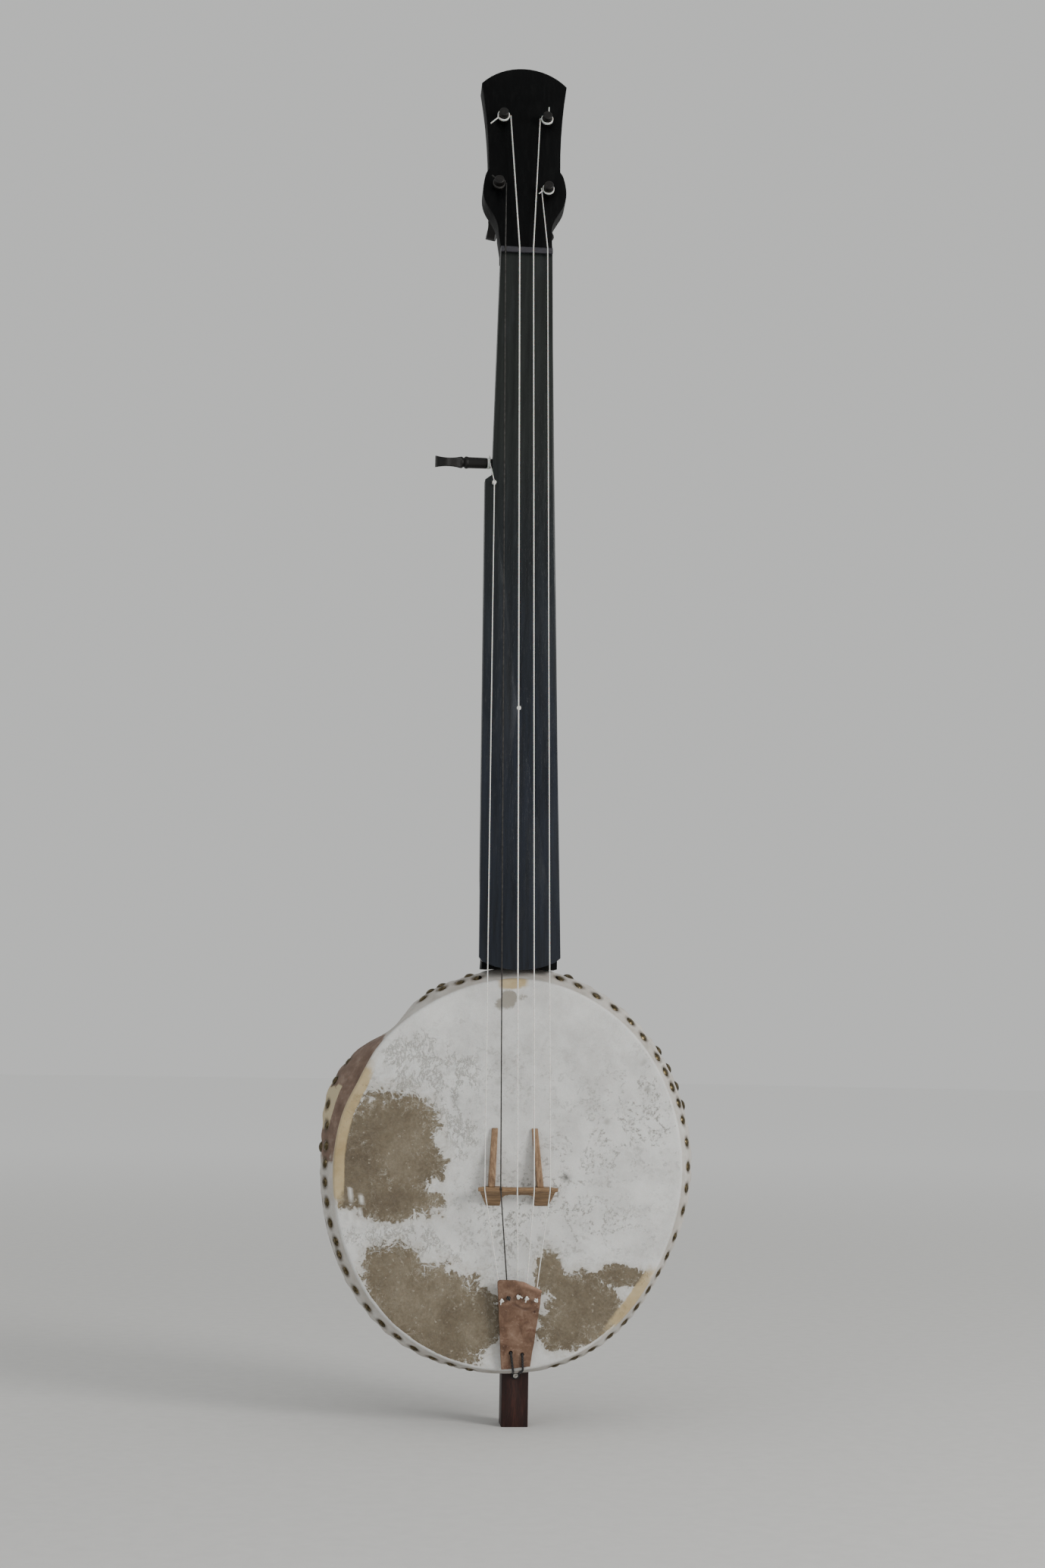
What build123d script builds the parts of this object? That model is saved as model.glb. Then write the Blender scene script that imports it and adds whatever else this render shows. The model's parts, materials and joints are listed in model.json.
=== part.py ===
"""Fretless five-string gourd banjo, upright, in millimetres.

The origin is the middle of the foot, where the dowel stick ends.
+Z runs up the neck, the head and the strings face -Y, and the first string is on the +X side.
"""

import math
import os

from build123d import *

# ---- driving dimensions ----
SCALE_LENGTH = 648.0  # nut to bridge
BRIDGE_Z = 160.0  # neck-side face of the bridge
NUT_Z = BRIDGE_Z + SCALE_LENGTH
HEAD_Y = -25.0  # playing face of the skin head
BOARD_Y = -30.0  # top of the fingerboard
BOARD_THICK = 5.0
WOOD_Y = BOARD_Y + BOARD_THICK  # top of the neck wood, under the fingerboard

# gourd
GOURD_X = -7.5
GOURD_Z = 170.0
GOURD_HALF_WIDTH = 116.1
GOURD_HALF_HEIGHT = 129.6
GOURD_WALL = 6.0
SKIN_THICK = 0.8
RIM_Y = HEAD_Y + SKIN_THICK
BELLY_DEPTH = 30.0  # from the rim back to the widest ring
BELLY_FLARE = 10.8  # how far the widest ring stands out past the rim
FLARE_POWER = 2.0  # how quickly the flare dies away towards the widest ring
BACK_DEPTH = 92.0  # from the widest ring to the back
RING_POINTS = 36
SKIN_GAP = 0.1

# tacks
TACK_RADIUS = 3.9
TACK_RISE = 1.9
TACK_PIN_RADIUS = 0.75
TACK_PIN_LENGTH = 6.0
TACK_DEPTH = 8.5
TACK_WANDER = 0.9  # how far the row strays from its depth
# degrees round the rim from the treble side, row by row
TREBLE_TACKS = [75.6, 69.7, 63.6, 57.2, 50.8, 45.0, 37.5, 32.3, 27.2, 21.8, 16.4, 9.3, 1.7]
LOW_TREBLE_TACKS = [-5.0, -12.2, -20.8, -27.3, -33.3, -39.3, -45.6, -51.3, -57.2, -63.6, -69.3, -75.3]
LOW_BASS_TACKS = [-100.3, -105.9, -111.4, -117.5, -123.3, -129.3, -135.3, -141.6, -147.9, -153.1]
BASS_TACKS = [-157.2, -163.0, -169.5, -175.6, 178.5, 173.2, 167.0, 161.0, 153.7, 147.0]
UPPER_BASS_TACKS = [117.5, 111.1, 105.5, 100.2]
# stray tacks behind the row, as (angle, depth)
STRAY_TACKS = [
    (72.8, 18.5),
    (38.5, 18.5),
    (32.5, 18.5),
    (26.5, 18.5),
    (20.5, 18.5),
    (114.5, 20.5),
    (110.8, 20.5),
    (102.2, 18.5),
    (173.8, 21.0),
]
SKIRT_DEPTH = 16.0
SKIRT_TUCK = 17.0  # extra depth at the deepest place
SKIRT_TUCK_ANGLE = 142.0

# neck
NUT_X = -5.9
NUT_WIDTH = 36.6
END_Z = 313.0
END_LEFT = -30.7
END_RIGHT = 24.8
SHOULDER_Z = 647.5
SHOULDER_DROP = 3.6
SHOULDER_LEFT = -32.4
SHOULDER_INNER = -27.5
BEND_RIGHT = 15.4
HEEL_LEFT = -28.5
HEEL_RIGHT = 22.9
HEEL_Z = 305.5  # flat end of the heel, in front of the gourd's flare

# nut, bridge and strings
NUT_THICK = 4.5
NUT_TOP = -32.3
NUT_STRING_X = [8.6, -1.4, -11.2, -21.2]  # first to fourth string
BRIDGE_STRING_X = [18.9, 8.2, -3.1, -14.2, -24.9]  # first to fifth string
KNOT_SPOTS = [(11.0, 86.0), (4.7, 87.3), (-0.9, 88.3), (-7.4, 87.3), (-11.9, 85.7)]
STRING_RADII = [0.35, 0.4, 0.45, 0.45, 0.35]
BRIDGE_TOP = -40.0
BRIDGE_STRING_Y = -39.9
NUT_STRING_Y = -32.0
SLOT_MARGIN = 0.25

# bridge
BRIDGE_LEFT = -29.5
BRIDGE_RIGHT = 24.4
BRIDGE_FEET = [(-22.9, -13.5), (9.7, 19.1)]  # left and right side of each foot
SLAB_THICK = 2.6  # at the two ends
ARCH_Y = BRIDGE_TOP + 5.6  # crown of the arch between the feet
FIN_LENGTH = 38.5
FIN_WIDTH = 4.2
FIN_HEIGHT = 12.0
FIN_PATHS = [(-19.8, -17.7), (12.8, 9.2)]  # x at the bridge, x at the far end

# octave dot
DOT_SPOT = (-6.3, BRIDGE_Z + SCALE_LENGTH / 2)
DOT_RADIUS = 1.5
DOT_THICK = 1.2

# fifth string
PIP_SPOT = (-26.2, 641.4)
PIP_RADIUS = 1.45
PIP_RISE = 3.3
PIP_SUNK = 4.0
PEG5_Y = -21.5
PEG5_Z = 657.5
PEG5_X = -31.0  # where the fifth peg's post begins
PEG5_BEHIND = 36.0
PEG5_POST = 17.0
PEG5_TURN = 105.0  # how far round its thumb piece stands
PEG5_POST_RADIUS = 3.3
PEG5_WINDING_LOW = 0.7
PEG5_TAG = (205, -0.35, 5.0)  # where the cut end stands off, its rise and its length

# peghead
HEAD_TILT = 12.0  # degrees, leaning back
PEGHEAD_THICK = 15.0
PEGHEAD_X = -7.0
PEGHEAD_FOOT = (PEGHEAD_X, -28.0, NUT_Z + NUT_THICK)
PEG_SPOTS = [(16.4, 46.4), (15.9, 104.8), (-15.5, 106.0), (-18.7, 49.3)]  # first to fourth

# pegs
POST_RADIUS = 3.5
SHAFT_RADIUS = 3.8
PEG_CLEARANCE = 0.05
POST_LENGTH = 10.0
PEG_BEHIND = 43.0  # from the wood to the end of the handle
HANDLE_LENGTH = 18.0
THUMB_TURNS = [55, -35, 10, 168]  # how far round each thumb piece stands, first to fourth
WINDING_RADIUS = 4.35
WINDING_CLEARANCE = 0.3
WINDING_LOW = 3.4  # where the turns begin, above the wood
TAG_TURNS = [200, 85, 235, 120]  # where each cut end stands off, first to fourth
TAG_LENGTHS = [5.0, 5.0, 8.0, 5.0]
TAG_RISE = 0.25

# dowel and tail
DOWEL_WIDTH = 18.0
DOWEL_DEPTH = 20.0
DOWEL_TOP = 327.0
TAIL_TILT = 6.0  # degrees
TAIL_THICK = 3.5
TAIL_FOOT = (0.0, -29.6, 41.0)
TAIL_OUTLINE = [
    (-11.3, -1),
    (8.4, 1),
    (15.2, 51.5),
    (3, 57),
    (-3.6, 58.4),
    (-13.7, 58.3),
    (-15.2, 56.9),
]
KNOT_HOLE_RADIUS = 1.0
KNOT_RADIUS = 1.45
CORD_RADIUS = 0.75
CORD_HOLES = [(-5.0, 10.4), (2.6, 9.4)]
TAIL_SCREW_Z = 34.0
TAIL_SCREW_LENGTH = 8.0

tilt = math.radians(HEAD_TILT)
peghead_plane = Plane(
    origin=PEGHEAD_FOOT, x_dir=(1, 0, 0), z_dir=(0, -math.cos(tilt), math.sin(tilt))
)
lean = math.radians(TAIL_TILT)
tail_plane = Plane(
    origin=TAIL_FOOT, x_dir=(1, 0, 0), z_dir=(0, -math.cos(lean), -math.sin(lean))
)
os.makedirs("parts", exist_ok=True)


def save(builder, name):
    """Labels a finished piece and writes it under its own name."""
    builder.part.label = name
    export_step(builder.part, f"parts/{name}.step")


# ---- gourd shape: every ring is the rim's outline, flared towards the belly ----


def bump(angle, centre, width):
    """1 at the centre angle, fading to 0 about two widths away, in degrees."""
    away = (angle - centre + 180) % 360 - 180
    return math.exp(-((away / width) ** 2))


def rim_radius(angle):
    """Rim outline: an oval with the swells and the dent of a grown gourd."""
    c = math.cos(math.radians(angle)) / GOURD_HALF_WIDTH
    s = math.sin(math.radians(angle)) / GOURD_HALF_HEIGHT
    oval = 1 / math.hypot(c, s)
    swells = 0.6 * bump(angle, 45, 20) + 1.3 * bump(angle, -133, 25)
    dents = 4.1 * bump(angle, 112, 24) + 1.3 * bump(angle, 72, 28) + 2.5 * bump(angle, 150, 10)
    return oval + swells - dents - 2.1 * bump(angle, -32, 25)


def flare_share(angle):
    """How much of the full flare the gourd has on this side of the rim."""
    share = 1.02 + 0.06 * math.cos(math.radians(angle)) + 0.45 * bump(angle, 155, 10)
    pinch = 0.95 * bump(angle, 130, 10) + 0.3 * bump(angle, -36, 24) + 0.62 * bump(angle, -90, 27)
    return share - pinch - 0.2 * bump(angle, 105, 16)


def gourd_radius(angle, depth, inset):
    """Distance from the gourd's axis to its surface, inset towards the inside."""
    if depth < BELLY_DEPTH:
        flare = BELLY_FLARE * (1 - ((BELLY_DEPTH - depth) / BELLY_DEPTH) ** FLARE_POWER)
        shrink = 1.0
    else:
        flare = BELLY_FLARE
        shrink = math.sqrt(1 - ((depth - BELLY_DEPTH) / (BACK_DEPTH - inset)) ** 2)
    return (rim_radius(angle) + flare_share(angle) * flare - inset) * shrink


def gourd_point(angle, depth, inset=0.0):
    """A point of the gourd's surface; depth is measured back from the rim."""
    radius = gourd_radius(angle, depth, inset)
    x = GOURD_X + radius * math.cos(math.radians(angle))
    z = GOURD_Z + radius * math.sin(math.radians(angle))
    return Vector(x, RIM_Y + depth, z)


def gourd_blank(depths, inset):
    """Solid loft through the gourd's rings at these depths."""
    with BuildPart() as blank:
        for depth in depths:
            points = [
                gourd_point(360 * i / RING_POINTS, depth, inset) for i in range(RING_POINTS)
            ]
            with BuildSketch(Plane.XZ.offset(-(RIM_Y + depth))):
                with BuildLine():
                    Spline(*[(p.X, p.Z) for p in points], periodic=True)
                make_face()
        loft()
    return blank.part


def back_depths(inset):
    """Ring depths behind the belly, closing towards the back."""
    angles = [18, 36, 52, 66, 77, 85]
    return [BELLY_DEPTH + (BACK_DEPTH - inset) * math.sin(math.radians(a)) for a in angles]


def skirt_depth(angle):
    """Depth of the skin's edge: it is pulled further down on the upper bass side."""
    return SKIRT_DEPTH + SKIRT_TUCK * bump(angle, SKIRT_TUCK_ANGLE, 24)


front_depths = [0, 3, 7, 12, 20, BELLY_DEPTH]

# ---- gourd bowl ----

gourd_outside = gourd_blank(front_depths + back_depths(0), 0)
gourd_inside = gourd_blank([-3] + front_depths[1:] + back_depths(GOURD_WALL), GOURD_WALL)

with BuildPart() as gourd_bowl:
    add(gourd_outside)
    add(gourd_inside, mode=Mode.SUBTRACT)
    with Locations((0, 0, GOURD_Z)):
        Box(DOWEL_WIDTH + 0.6, DOWEL_DEPTH + 0.6, 400, mode=Mode.SUBTRACT)
save(gourd_bowl, "gourd_bowl")

# ---- skin head, with its skirt down the side of the gourd ----

skirt_limit = SKIRT_DEPTH + 20
skirt_depths = [d for d in front_depths if d > 0] + [skirt_limit]
skin_outside = gourd_blank([-SKIN_THICK] + skirt_depths, -SKIN_THICK - SKIN_GAP)
skin_inside = gourd_blank([0] + skirt_depths + [skirt_limit + 3], -SKIN_GAP)
tuck_turn = math.radians(SKIRT_TUCK_ANGLE)
tuck_plane = Plane(
    origin=(GOURD_X, RIM_Y, GOURD_Z),
    x_dir=(math.sin(tuck_turn), 0, -math.cos(tuck_turn)),
    z_dir=(math.cos(tuck_turn), 0, math.sin(tuck_turn)),
)
tuck_reach = 160.0
tuck_side = 1 if tuck_plane.y_dir.Y > 0 else -1


def tuck_line():
    """The skin's edge seen from the upper bass side, as (across, depth) points."""
    line = []
    for i in range(-8, 9):
        across = tuck_reach * i / 8
        angle = SKIRT_TUCK_ANGLE - math.degrees(math.asin(max(-1, min(1, across / 128))))
        line.append((across, tuck_side * skirt_depth(angle)))
    return line


with BuildPart() as head_skin:
    add(skin_outside)
    add(skin_inside, mode=Mode.SUBTRACT)
    with BuildSketch(tuck_plane):
        with BuildLine():
            edge = Spline(*tuck_line())
            far = tuck_side * (skirt_limit + 10)
            Polyline(edge @ 0, (-tuck_reach, far), (tuck_reach, far), edge @ 1)
        make_face()
    extrude(amount=tuck_reach, mode=Mode.SUBTRACT)
    with BuildSketch(tuck_plane):
        with Locations((0, tuck_side * (SKIRT_DEPTH + 15))):
            Rectangle(2 * tuck_reach, 30)
    extrude(amount=-tuck_reach, mode=Mode.SUBTRACT)
    with Locations((0, 0, GOURD_Z)):
        Box(DOWEL_WIDTH + 1, DOWEL_DEPTH + 1, 400, mode=Mode.SUBTRACT)
save(head_skin, "head_skin")

# ---- tacks ----


def tack_place(angle, depth):
    """Location on the skirt, its Z pointing out of the gourd."""
    step = 0.5
    here = gourd_point(angle, depth, -SKIN_THICK - SKIN_GAP)
    along = gourd_point(angle + step, depth) - gourd_point(angle - step, depth)
    back = gourd_point(angle, depth + step) - gourd_point(angle, depth - step)
    outward = along.cross(back).normalized()
    if outward.dot(here - Vector(GOURD_X, here.Y, GOURD_Z)) < 0:
        outward = outward * -1
    return Plane(origin=here + outward * 0.05, z_dir=outward).location


row_angles = TREBLE_TACKS + LOW_TREBLE_TACKS + LOW_BASS_TACKS + BASS_TACKS + UPPER_BASS_TACKS
row_places = []
for angle in row_angles:
    tucked = skirt_depth(angle) - SKIRT_DEPTH
    row_places.append(tack_place(angle, TACK_DEPTH + TACK_WANDER * math.sin(5 * angle) + tucked))
stray_places = [tack_place(angle, depth) for angle, depth in STRAY_TACKS]

dome_radius = (TACK_RADIUS**2 + TACK_RISE**2) / (2 * TACK_RISE)
with BuildPart() as tack:
    with Locations((0, 0, TACK_RISE - dome_radius)):
        Sphere(dome_radius)
    split(bisect_by=Plane.XY)
    Cylinder(TACK_PIN_RADIUS, TACK_PIN_LENGTH, align=(Align.CENTER, Align.CENTER, Align.MAX))

with BuildPart() as rim_tacks:
    with Locations(*row_places):
        add(tack.part)
save(rim_tacks, "rim_tacks")

with BuildPart() as extra_tacks:
    with Locations(*stray_places):
        add(tack.part)
save(extra_tacks, "extra_tacks")

# ---- dowel stick: from the heel, through the gourd, to the foot ----

with BuildPart() as dowel_stick:
    with Locations((0, 0, DOWEL_TOP / 2)):
        Box(DOWEL_WIDTH, DOWEL_DEPTH, DOWEL_TOP)
    chamfer(dowel_stick.edges().filter_by(Axis.Z), length=0.8)
    with Locations(Plane((0, -DOWEL_DEPTH / 2, TAIL_SCREW_Z), z_dir=(0, -1, 0))):
        Hole(radius=0.9, depth=9)
save(dowel_stick, "dowel_stick")

# ---- neck: shaft, heel and peghead in one piece of wood ----

nut_left = NUT_X - NUT_WIDTH / 2
nut_right = NUT_X + NUT_WIDTH / 2


def neck_section(z, left, right, top, side, back):
    """D-shaped section: flat top, short straight sides, rounded back."""
    with BuildSketch(Plane.XY.offset(z)) as section:
        with BuildLine():
            Polyline((left, top + side), (left, top), (right, top), (right, top + side))
            ThreePointArc((right, top + side), ((left + right) / 2, back), (left, top + side))
        make_face()
    return section.sketch


def peghead_half():
    """Outline points of one ear of the peghead, from just above the nut up to the waist."""
    return [(18.8, 12), (21.8, 25), (27.8, 36), (29.8, 47.5), (28.6, 56.5), (25.6, 63.8)]


pot_clear = gourd_blank([-2, 3, 7, 12, 20, 30, 45, 60], -SKIN_THICK - SKIN_GAP - 0.2)

under_nut = neck_section(NUT_Z - 2, nut_left, nut_right, WOOD_Y, 4, -8)
above_shoulder = neck_section(SHOULDER_Z, SHOULDER_INNER, BEND_RIGHT, WOOD_Y, 4, -5.5)
shoulder_foot = SHOULDER_Z - SHOULDER_DROP
below_shoulder = neck_section(shoulder_foot, SHOULDER_LEFT, BEND_RIGHT + 0.1, WOOD_Y, 4, -5.4)
above_heel = neck_section(END_Z + 57, -31.0, 23.1, WOOD_Y, 4, -1.5)
heel_sections = [
    above_heel,
    neck_section(END_Z + 38, -30.0, 23.0, WOOD_Y, 8, 4),
    neck_section(END_Z + 20, HEEL_LEFT, HEEL_RIGHT, WOOD_Y, 16, 12),
    neck_section(HEEL_Z, HEEL_LEFT, HEEL_RIGHT, WOOD_Y, 22, 16),
]

with BuildPart() as neck:
    # the shaft, four strings wide and then five
    loft([neck_section(NUT_Z + 18, nut_left, nut_right, -24, 5, -9), under_nut], ruled=True)
    loft([under_nut, above_shoulder], ruled=True)
    loft([above_shoulder, below_shoulder], ruled=True)
    loft([below_shoulder, above_heel], ruled=True)
    # heel, sweeping back to take the dowel stick
    loft(heel_sections)
    # peghead, leaning back behind the nut
    with BuildSketch(peghead_plane):
        with BuildLine():
            for side, foot_x in ((1, nut_right - PEGHEAD_X), (-1, nut_left - PEGHEAD_X)):
                half = [(side * x, s) for x, s in peghead_half()]
                Polyline((foot_x, -6), (foot_x, 0), half[0])
                Spline(*half, tangents=[(0, 1), (-0.75 * side, 1)])
                ThreePointArc(half[-1], (side * 26.9, 100), (side * 30.9, 136.2))
            ThreePointArc((-30.9, 136.2), (-0.5, 150.2), (30.9, 136.2))
            Line((nut_left - PEGHEAD_X, -6), (nut_right - PEGHEAD_X, -6))
        make_face()
    extrude(amount=-PEGHEAD_THICK)
    # seat for the nut, mortise for the dowel, and the curve of the gourd
    with Locations((0, WOOD_Y - 20, NUT_Z + NUT_THICK - 60)):
        Box(100, 40, 120, mode=Mode.SUBTRACT)
    with Locations((0, 0, DOWEL_TOP / 2 + 0.1)):
        Box(DOWEL_WIDTH + 0.1, DOWEL_DEPTH + 0.1, DOWEL_TOP + 0.2, mode=Mode.SUBTRACT)
    add(pot_clear, mode=Mode.SUBTRACT)
    # tapered peg holes
    for x, s in PEG_SPOTS:
        spot = peghead_plane.from_local_coords((x, s, -PEGHEAD_THICK / 2))
        with Locations(Plane(spot, x_dir=(1, 0, 0), z_dir=peghead_plane.z_dir)):
            Cone(
                SHAFT_RADIUS + PEG_CLEARANCE,
                POST_RADIUS + PEG_CLEARANCE,
                PEGHEAD_THICK,
                mode=Mode.SUBTRACT,
            )
    with Locations(Plane((PEG5_X, PEG5_Y, PEG5_Z), z_dir=(1, 0, 0))):
        Cylinder(PEG5_POST_RADIUS + PEG_CLEARANCE, 2 * PEG5_POST + 0.4, mode=Mode.SUBTRACT)
save(neck, "neck")

# ---- fingerboard, with its inlaid dot and the fifth-string pip ----

with BuildPart() as fingerboard:
    with BuildSketch(Plane.XZ.offset(-WOOD_Y)):
        with BuildLine():
            Polyline(
                (END_RIGHT, END_Z),
                (BEND_RIGHT, SHOULDER_Z - SHOULDER_DROP),
                (nut_right, NUT_Z),
                (nut_left, NUT_Z),
                (SHOULDER_INNER, SHOULDER_Z),
                (SHOULDER_LEFT, SHOULDER_Z - SHOULDER_DROP),
                (END_LEFT, END_Z),
                (HEEL_LEFT, END_Z - 3),
            )
            ThreePointArc((HEEL_LEFT, END_Z - 3), (-2.9, END_Z - 8.5), (21.1, END_Z - 3))
            Line((21.1, END_Z - 3), (END_RIGHT, END_Z))
        make_face()
    extrude(amount=BOARD_THICK)
    fillet(fingerboard.faces().sort_by(Axis.Y)[0].edges().filter_by(Axis.Z, tolerance=2), 0.8)
    with Locations(Plane((DOT_SPOT[0], BOARD_Y + DOT_THICK / 2, DOT_SPOT[1]), z_dir=(0, -1, 0))):
        Cylinder(DOT_RADIUS, DOT_THICK, mode=Mode.SUBTRACT)
    with Locations(Plane((PIP_SPOT[0], BOARD_Y + PIP_SUNK / 2, PIP_SPOT[1]), z_dir=(0, -1, 0))):
        Cylinder(PIP_RADIUS, PIP_SUNK, mode=Mode.SUBTRACT)
save(fingerboard, "fingerboard")

with BuildPart() as octave_dot:
    with Locations(Plane((DOT_SPOT[0], BOARD_Y + DOT_THICK / 2, DOT_SPOT[1]), z_dir=(0, -1, 0))):
        Cylinder(DOT_RADIUS, DOT_THICK)
save(octave_dot, "octave_dot")

pip_height = PIP_RISE + PIP_SUNK
pip_foot = (PIP_SPOT[0], BOARD_Y + PIP_SUNK, PIP_SPOT[1])
pip_plane = Plane(pip_foot, x_dir=(1, 0, 0), z_dir=(0, -1, 0))
with BuildPart(pip_plane) as fifth_string_pip:
    Cylinder(PIP_RADIUS, pip_height, align=(Align.CENTER, Align.CENTER, Align.MIN))
    fillet(fifth_string_pip.edges().sort_by(Axis.Y)[0], 0.5)
    with Locations((0, 0, pip_height)):
        Box(2 * STRING_RADII[4] + 0.2, 3 * PIP_RADIUS, 4.0, mode=Mode.SUBTRACT)
save(fifth_string_pip, "fifth_string_pip")

# ---- nut ----

with BuildPart() as nut:
    with BuildSketch(Plane.YZ.offset(nut_left)):
        with BuildLine():
            Polyline(
                (NUT_TOP + 1.6, NUT_Z + NUT_THICK),
                (WOOD_Y, NUT_Z + NUT_THICK),
                (WOOD_Y, NUT_Z),
                (NUT_TOP + 0.4, NUT_Z),
            )
            crown = (NUT_TOP, NUT_Z + 1.4)
            Spline((NUT_TOP + 0.4, NUT_Z), crown, (NUT_TOP + 1.6, NUT_Z + NUT_THICK))
        make_face()
    extrude(amount=NUT_WIDTH)
    for x, radius in zip(NUT_STRING_X, STRING_RADII):
        slot_bottom = NUT_STRING_Y + radius + SLOT_MARGIN
        with Locations((x, slot_bottom - 2, NUT_Z + NUT_THICK / 2)):
            Box(2 * radius + 0.1, 4, NUT_THICK + 2, mode=Mode.SUBTRACT)
save(nut, "nut")

# ---- bridge: a wedge on two feet, with two buttress fins towards the neck ----

slab_y = BRIDGE_TOP + SLAB_THICK
left_foot, right_foot = BRIDGE_FEET
arch = [
    (right_foot[0] - 0.4, ARCH_Y + 3.2),
    (right_foot[0] - 2.6, ARCH_Y + 0.7),
    ((left_foot[1] + right_foot[0]) / 2, ARCH_Y),
    (left_foot[1] + 2.6, ARCH_Y + 0.7),
    (left_foot[1] + 0.4, ARCH_Y + 3.2),
]

with BuildPart() as bridge:
    with BuildSketch(Plane.YZ.offset(BRIDGE_LEFT)):
        Polygon(
            (HEAD_Y, BRIDGE_Z - 13.4),
            (slab_y, BRIDGE_Z - 3),
            (BRIDGE_TOP, BRIDGE_Z - 2.7),
            (BRIDGE_TOP, BRIDGE_Z),
            (HEAD_Y, BRIDGE_Z),
            align=None,
        )
    extrude(amount=BRIDGE_RIGHT - BRIDGE_LEFT)
    with BuildSketch(Plane.XY.offset(BRIDGE_Z - 20)):
        with BuildLine():
            Polyline(
                (left_foot[1], HEAD_Y),
                (left_foot[0], HEAD_Y),
                (BRIDGE_LEFT + 1.5, slab_y),
                (BRIDGE_LEFT, BRIDGE_TOP),
                (BRIDGE_RIGHT, BRIDGE_TOP),
                (BRIDGE_RIGHT - 1.5, slab_y),
                (right_foot[1], HEAD_Y),
                (right_foot[0], HEAD_Y),
            )
            Polyline((right_foot[0], HEAD_Y), arch[0])
            Spline(*arch)
            Polyline(arch[-1], (left_foot[1], HEAD_Y))
        make_face()
    extrude(amount=30, mode=Mode.INTERSECT)
    for x, radius in zip(BRIDGE_STRING_X, STRING_RADII):
        slot_bottom = BRIDGE_STRING_Y + radius + SLOT_MARGIN
        with Locations((x, slot_bottom - 2, BRIDGE_Z)):
            Box(2 * radius + 0.4, 4, 12, mode=Mode.SUBTRACT)
save(bridge, "bridge")

with BuildPart() as bridge_fins:
    with BuildSketch(Plane.YZ.offset(-40)):
        Polygon(
            (HEAD_Y, BRIDGE_Z),
            (HEAD_Y - FIN_HEIGHT, BRIDGE_Z),
            (HEAD_Y - 2, BRIDGE_Z + FIN_LENGTH),
            (HEAD_Y, BRIDGE_Z + FIN_LENGTH),
            align=None,
        )
    extrude(amount=80)
    with BuildSketch(Plane.XZ.offset(-HEAD_Y)):
        for near, far in FIN_PATHS:
            Polygon(
                (near - FIN_WIDTH / 2, BRIDGE_Z),
                (near + FIN_WIDTH / 2, BRIDGE_Z),
                (far + FIN_WIDTH / 2, BRIDGE_Z + FIN_LENGTH),
                (far - FIN_WIDTH / 2, BRIDGE_Z + FIN_LENGTH),
                align=None,
            )
    extrude(amount=FIN_HEIGHT + 1, mode=Mode.INTERSECT)
save(bridge_fins, "bridge_fins")

# ---- tailpiece ----

with BuildPart() as tailpiece:
    with BuildSketch(tail_plane):
        Polygon(*TAIL_OUTLINE, align=None)
    extrude(amount=-TAIL_THICK)
    with BuildSketch(tail_plane):
        with Locations(*[(x, z - TAIL_FOOT[2]) for x, z in KNOT_SPOTS]):
            Circle(KNOT_HOLE_RADIUS)
        with Locations(*CORD_HOLES):
            Circle(CORD_RADIUS + 0.25)
    extrude(amount=-TAIL_THICK, mode=Mode.SUBTRACT)
save(tailpiece, "tailpiece")

# ---- strings ----


def string_tube(points, radii, radius):
    """Round string along straight runs joined by tangent arcs."""
    with BuildPart() as tube:
        with BuildLine() as route:
            FilletPolyline(*points, radius=radii)
        start = Plane(origin=route.wire() @ 0, z_dir=route.wire() % 0)
        with BuildSketch(start):
            Circle(radius)
        sweep(path=route.wire())
    return tube.part


def tail_run(i):
    """The points from the knot, through the tailpiece and up to the bridge."""
    knot_x, knot_z = KNOT_SPOTS[i]
    face_y = TAIL_FOOT[1] - (knot_z - TAIL_FOOT[2]) * math.tan(lean)
    return [
        (knot_x, face_y - 1.0, knot_z),
        (knot_x, -29.2, knot_z),
        (BRIDGE_STRING_X[i], BRIDGE_STRING_Y, BRIDGE_Z - 1.4),
    ]


def knot_centre(i):
    """Middle of the knot, resting on the tailpiece's face."""
    x, y, z = tail_run(i)[0]
    return (x, y - 0.35, z)


def winding_end(i):
    """Where the string reaches its peg, just clear of the turns."""
    x, s = PEG_SPOTS[i]
    inner = -1 if x > 0 else 1
    reach = WINDING_RADIUS + WINDING_CLEARANCE + STRING_RADII[i]
    return tuple(peghead_plane.from_local_coords((x + inner * reach, s, 5)))


for i, radius in enumerate(STRING_RADII):
    if i < 4:
        top = [(NUT_STRING_X[i], NUT_STRING_Y, NUT_Z + NUT_THICK - 1), winding_end(i)]
        arcs = [1.3, 6, 4]
    else:
        pip_top = BOARD_Y - PIP_RISE + 0.4
        peg_front = PEG5_Y - WINDING_RADIUS - WINDING_CLEARANCE - radius
        top = [(PIP_SPOT[0], pip_top, PIP_SPOT[1]), (-29.2, peg_front, PEG5_Z)]
        arcs = [1.3, 6, 2]
    tube = string_tube(tail_run(i) + top, arcs, radius)
    with BuildPart() as string:
        add(tube)
        with Locations(knot_centre(i)):
            Sphere(KNOT_RADIUS)
    save(string, f"string_{i + 1}")

# ---- tail cord, looped through the tailpiece and round the screw in the dowel ----


def cord_on_face(x, s):
    """A cord point lying on the tailpiece's face."""
    return tuple(tail_plane.from_local_coords((x, s, CORD_RADIUS + 0.1)))


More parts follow.
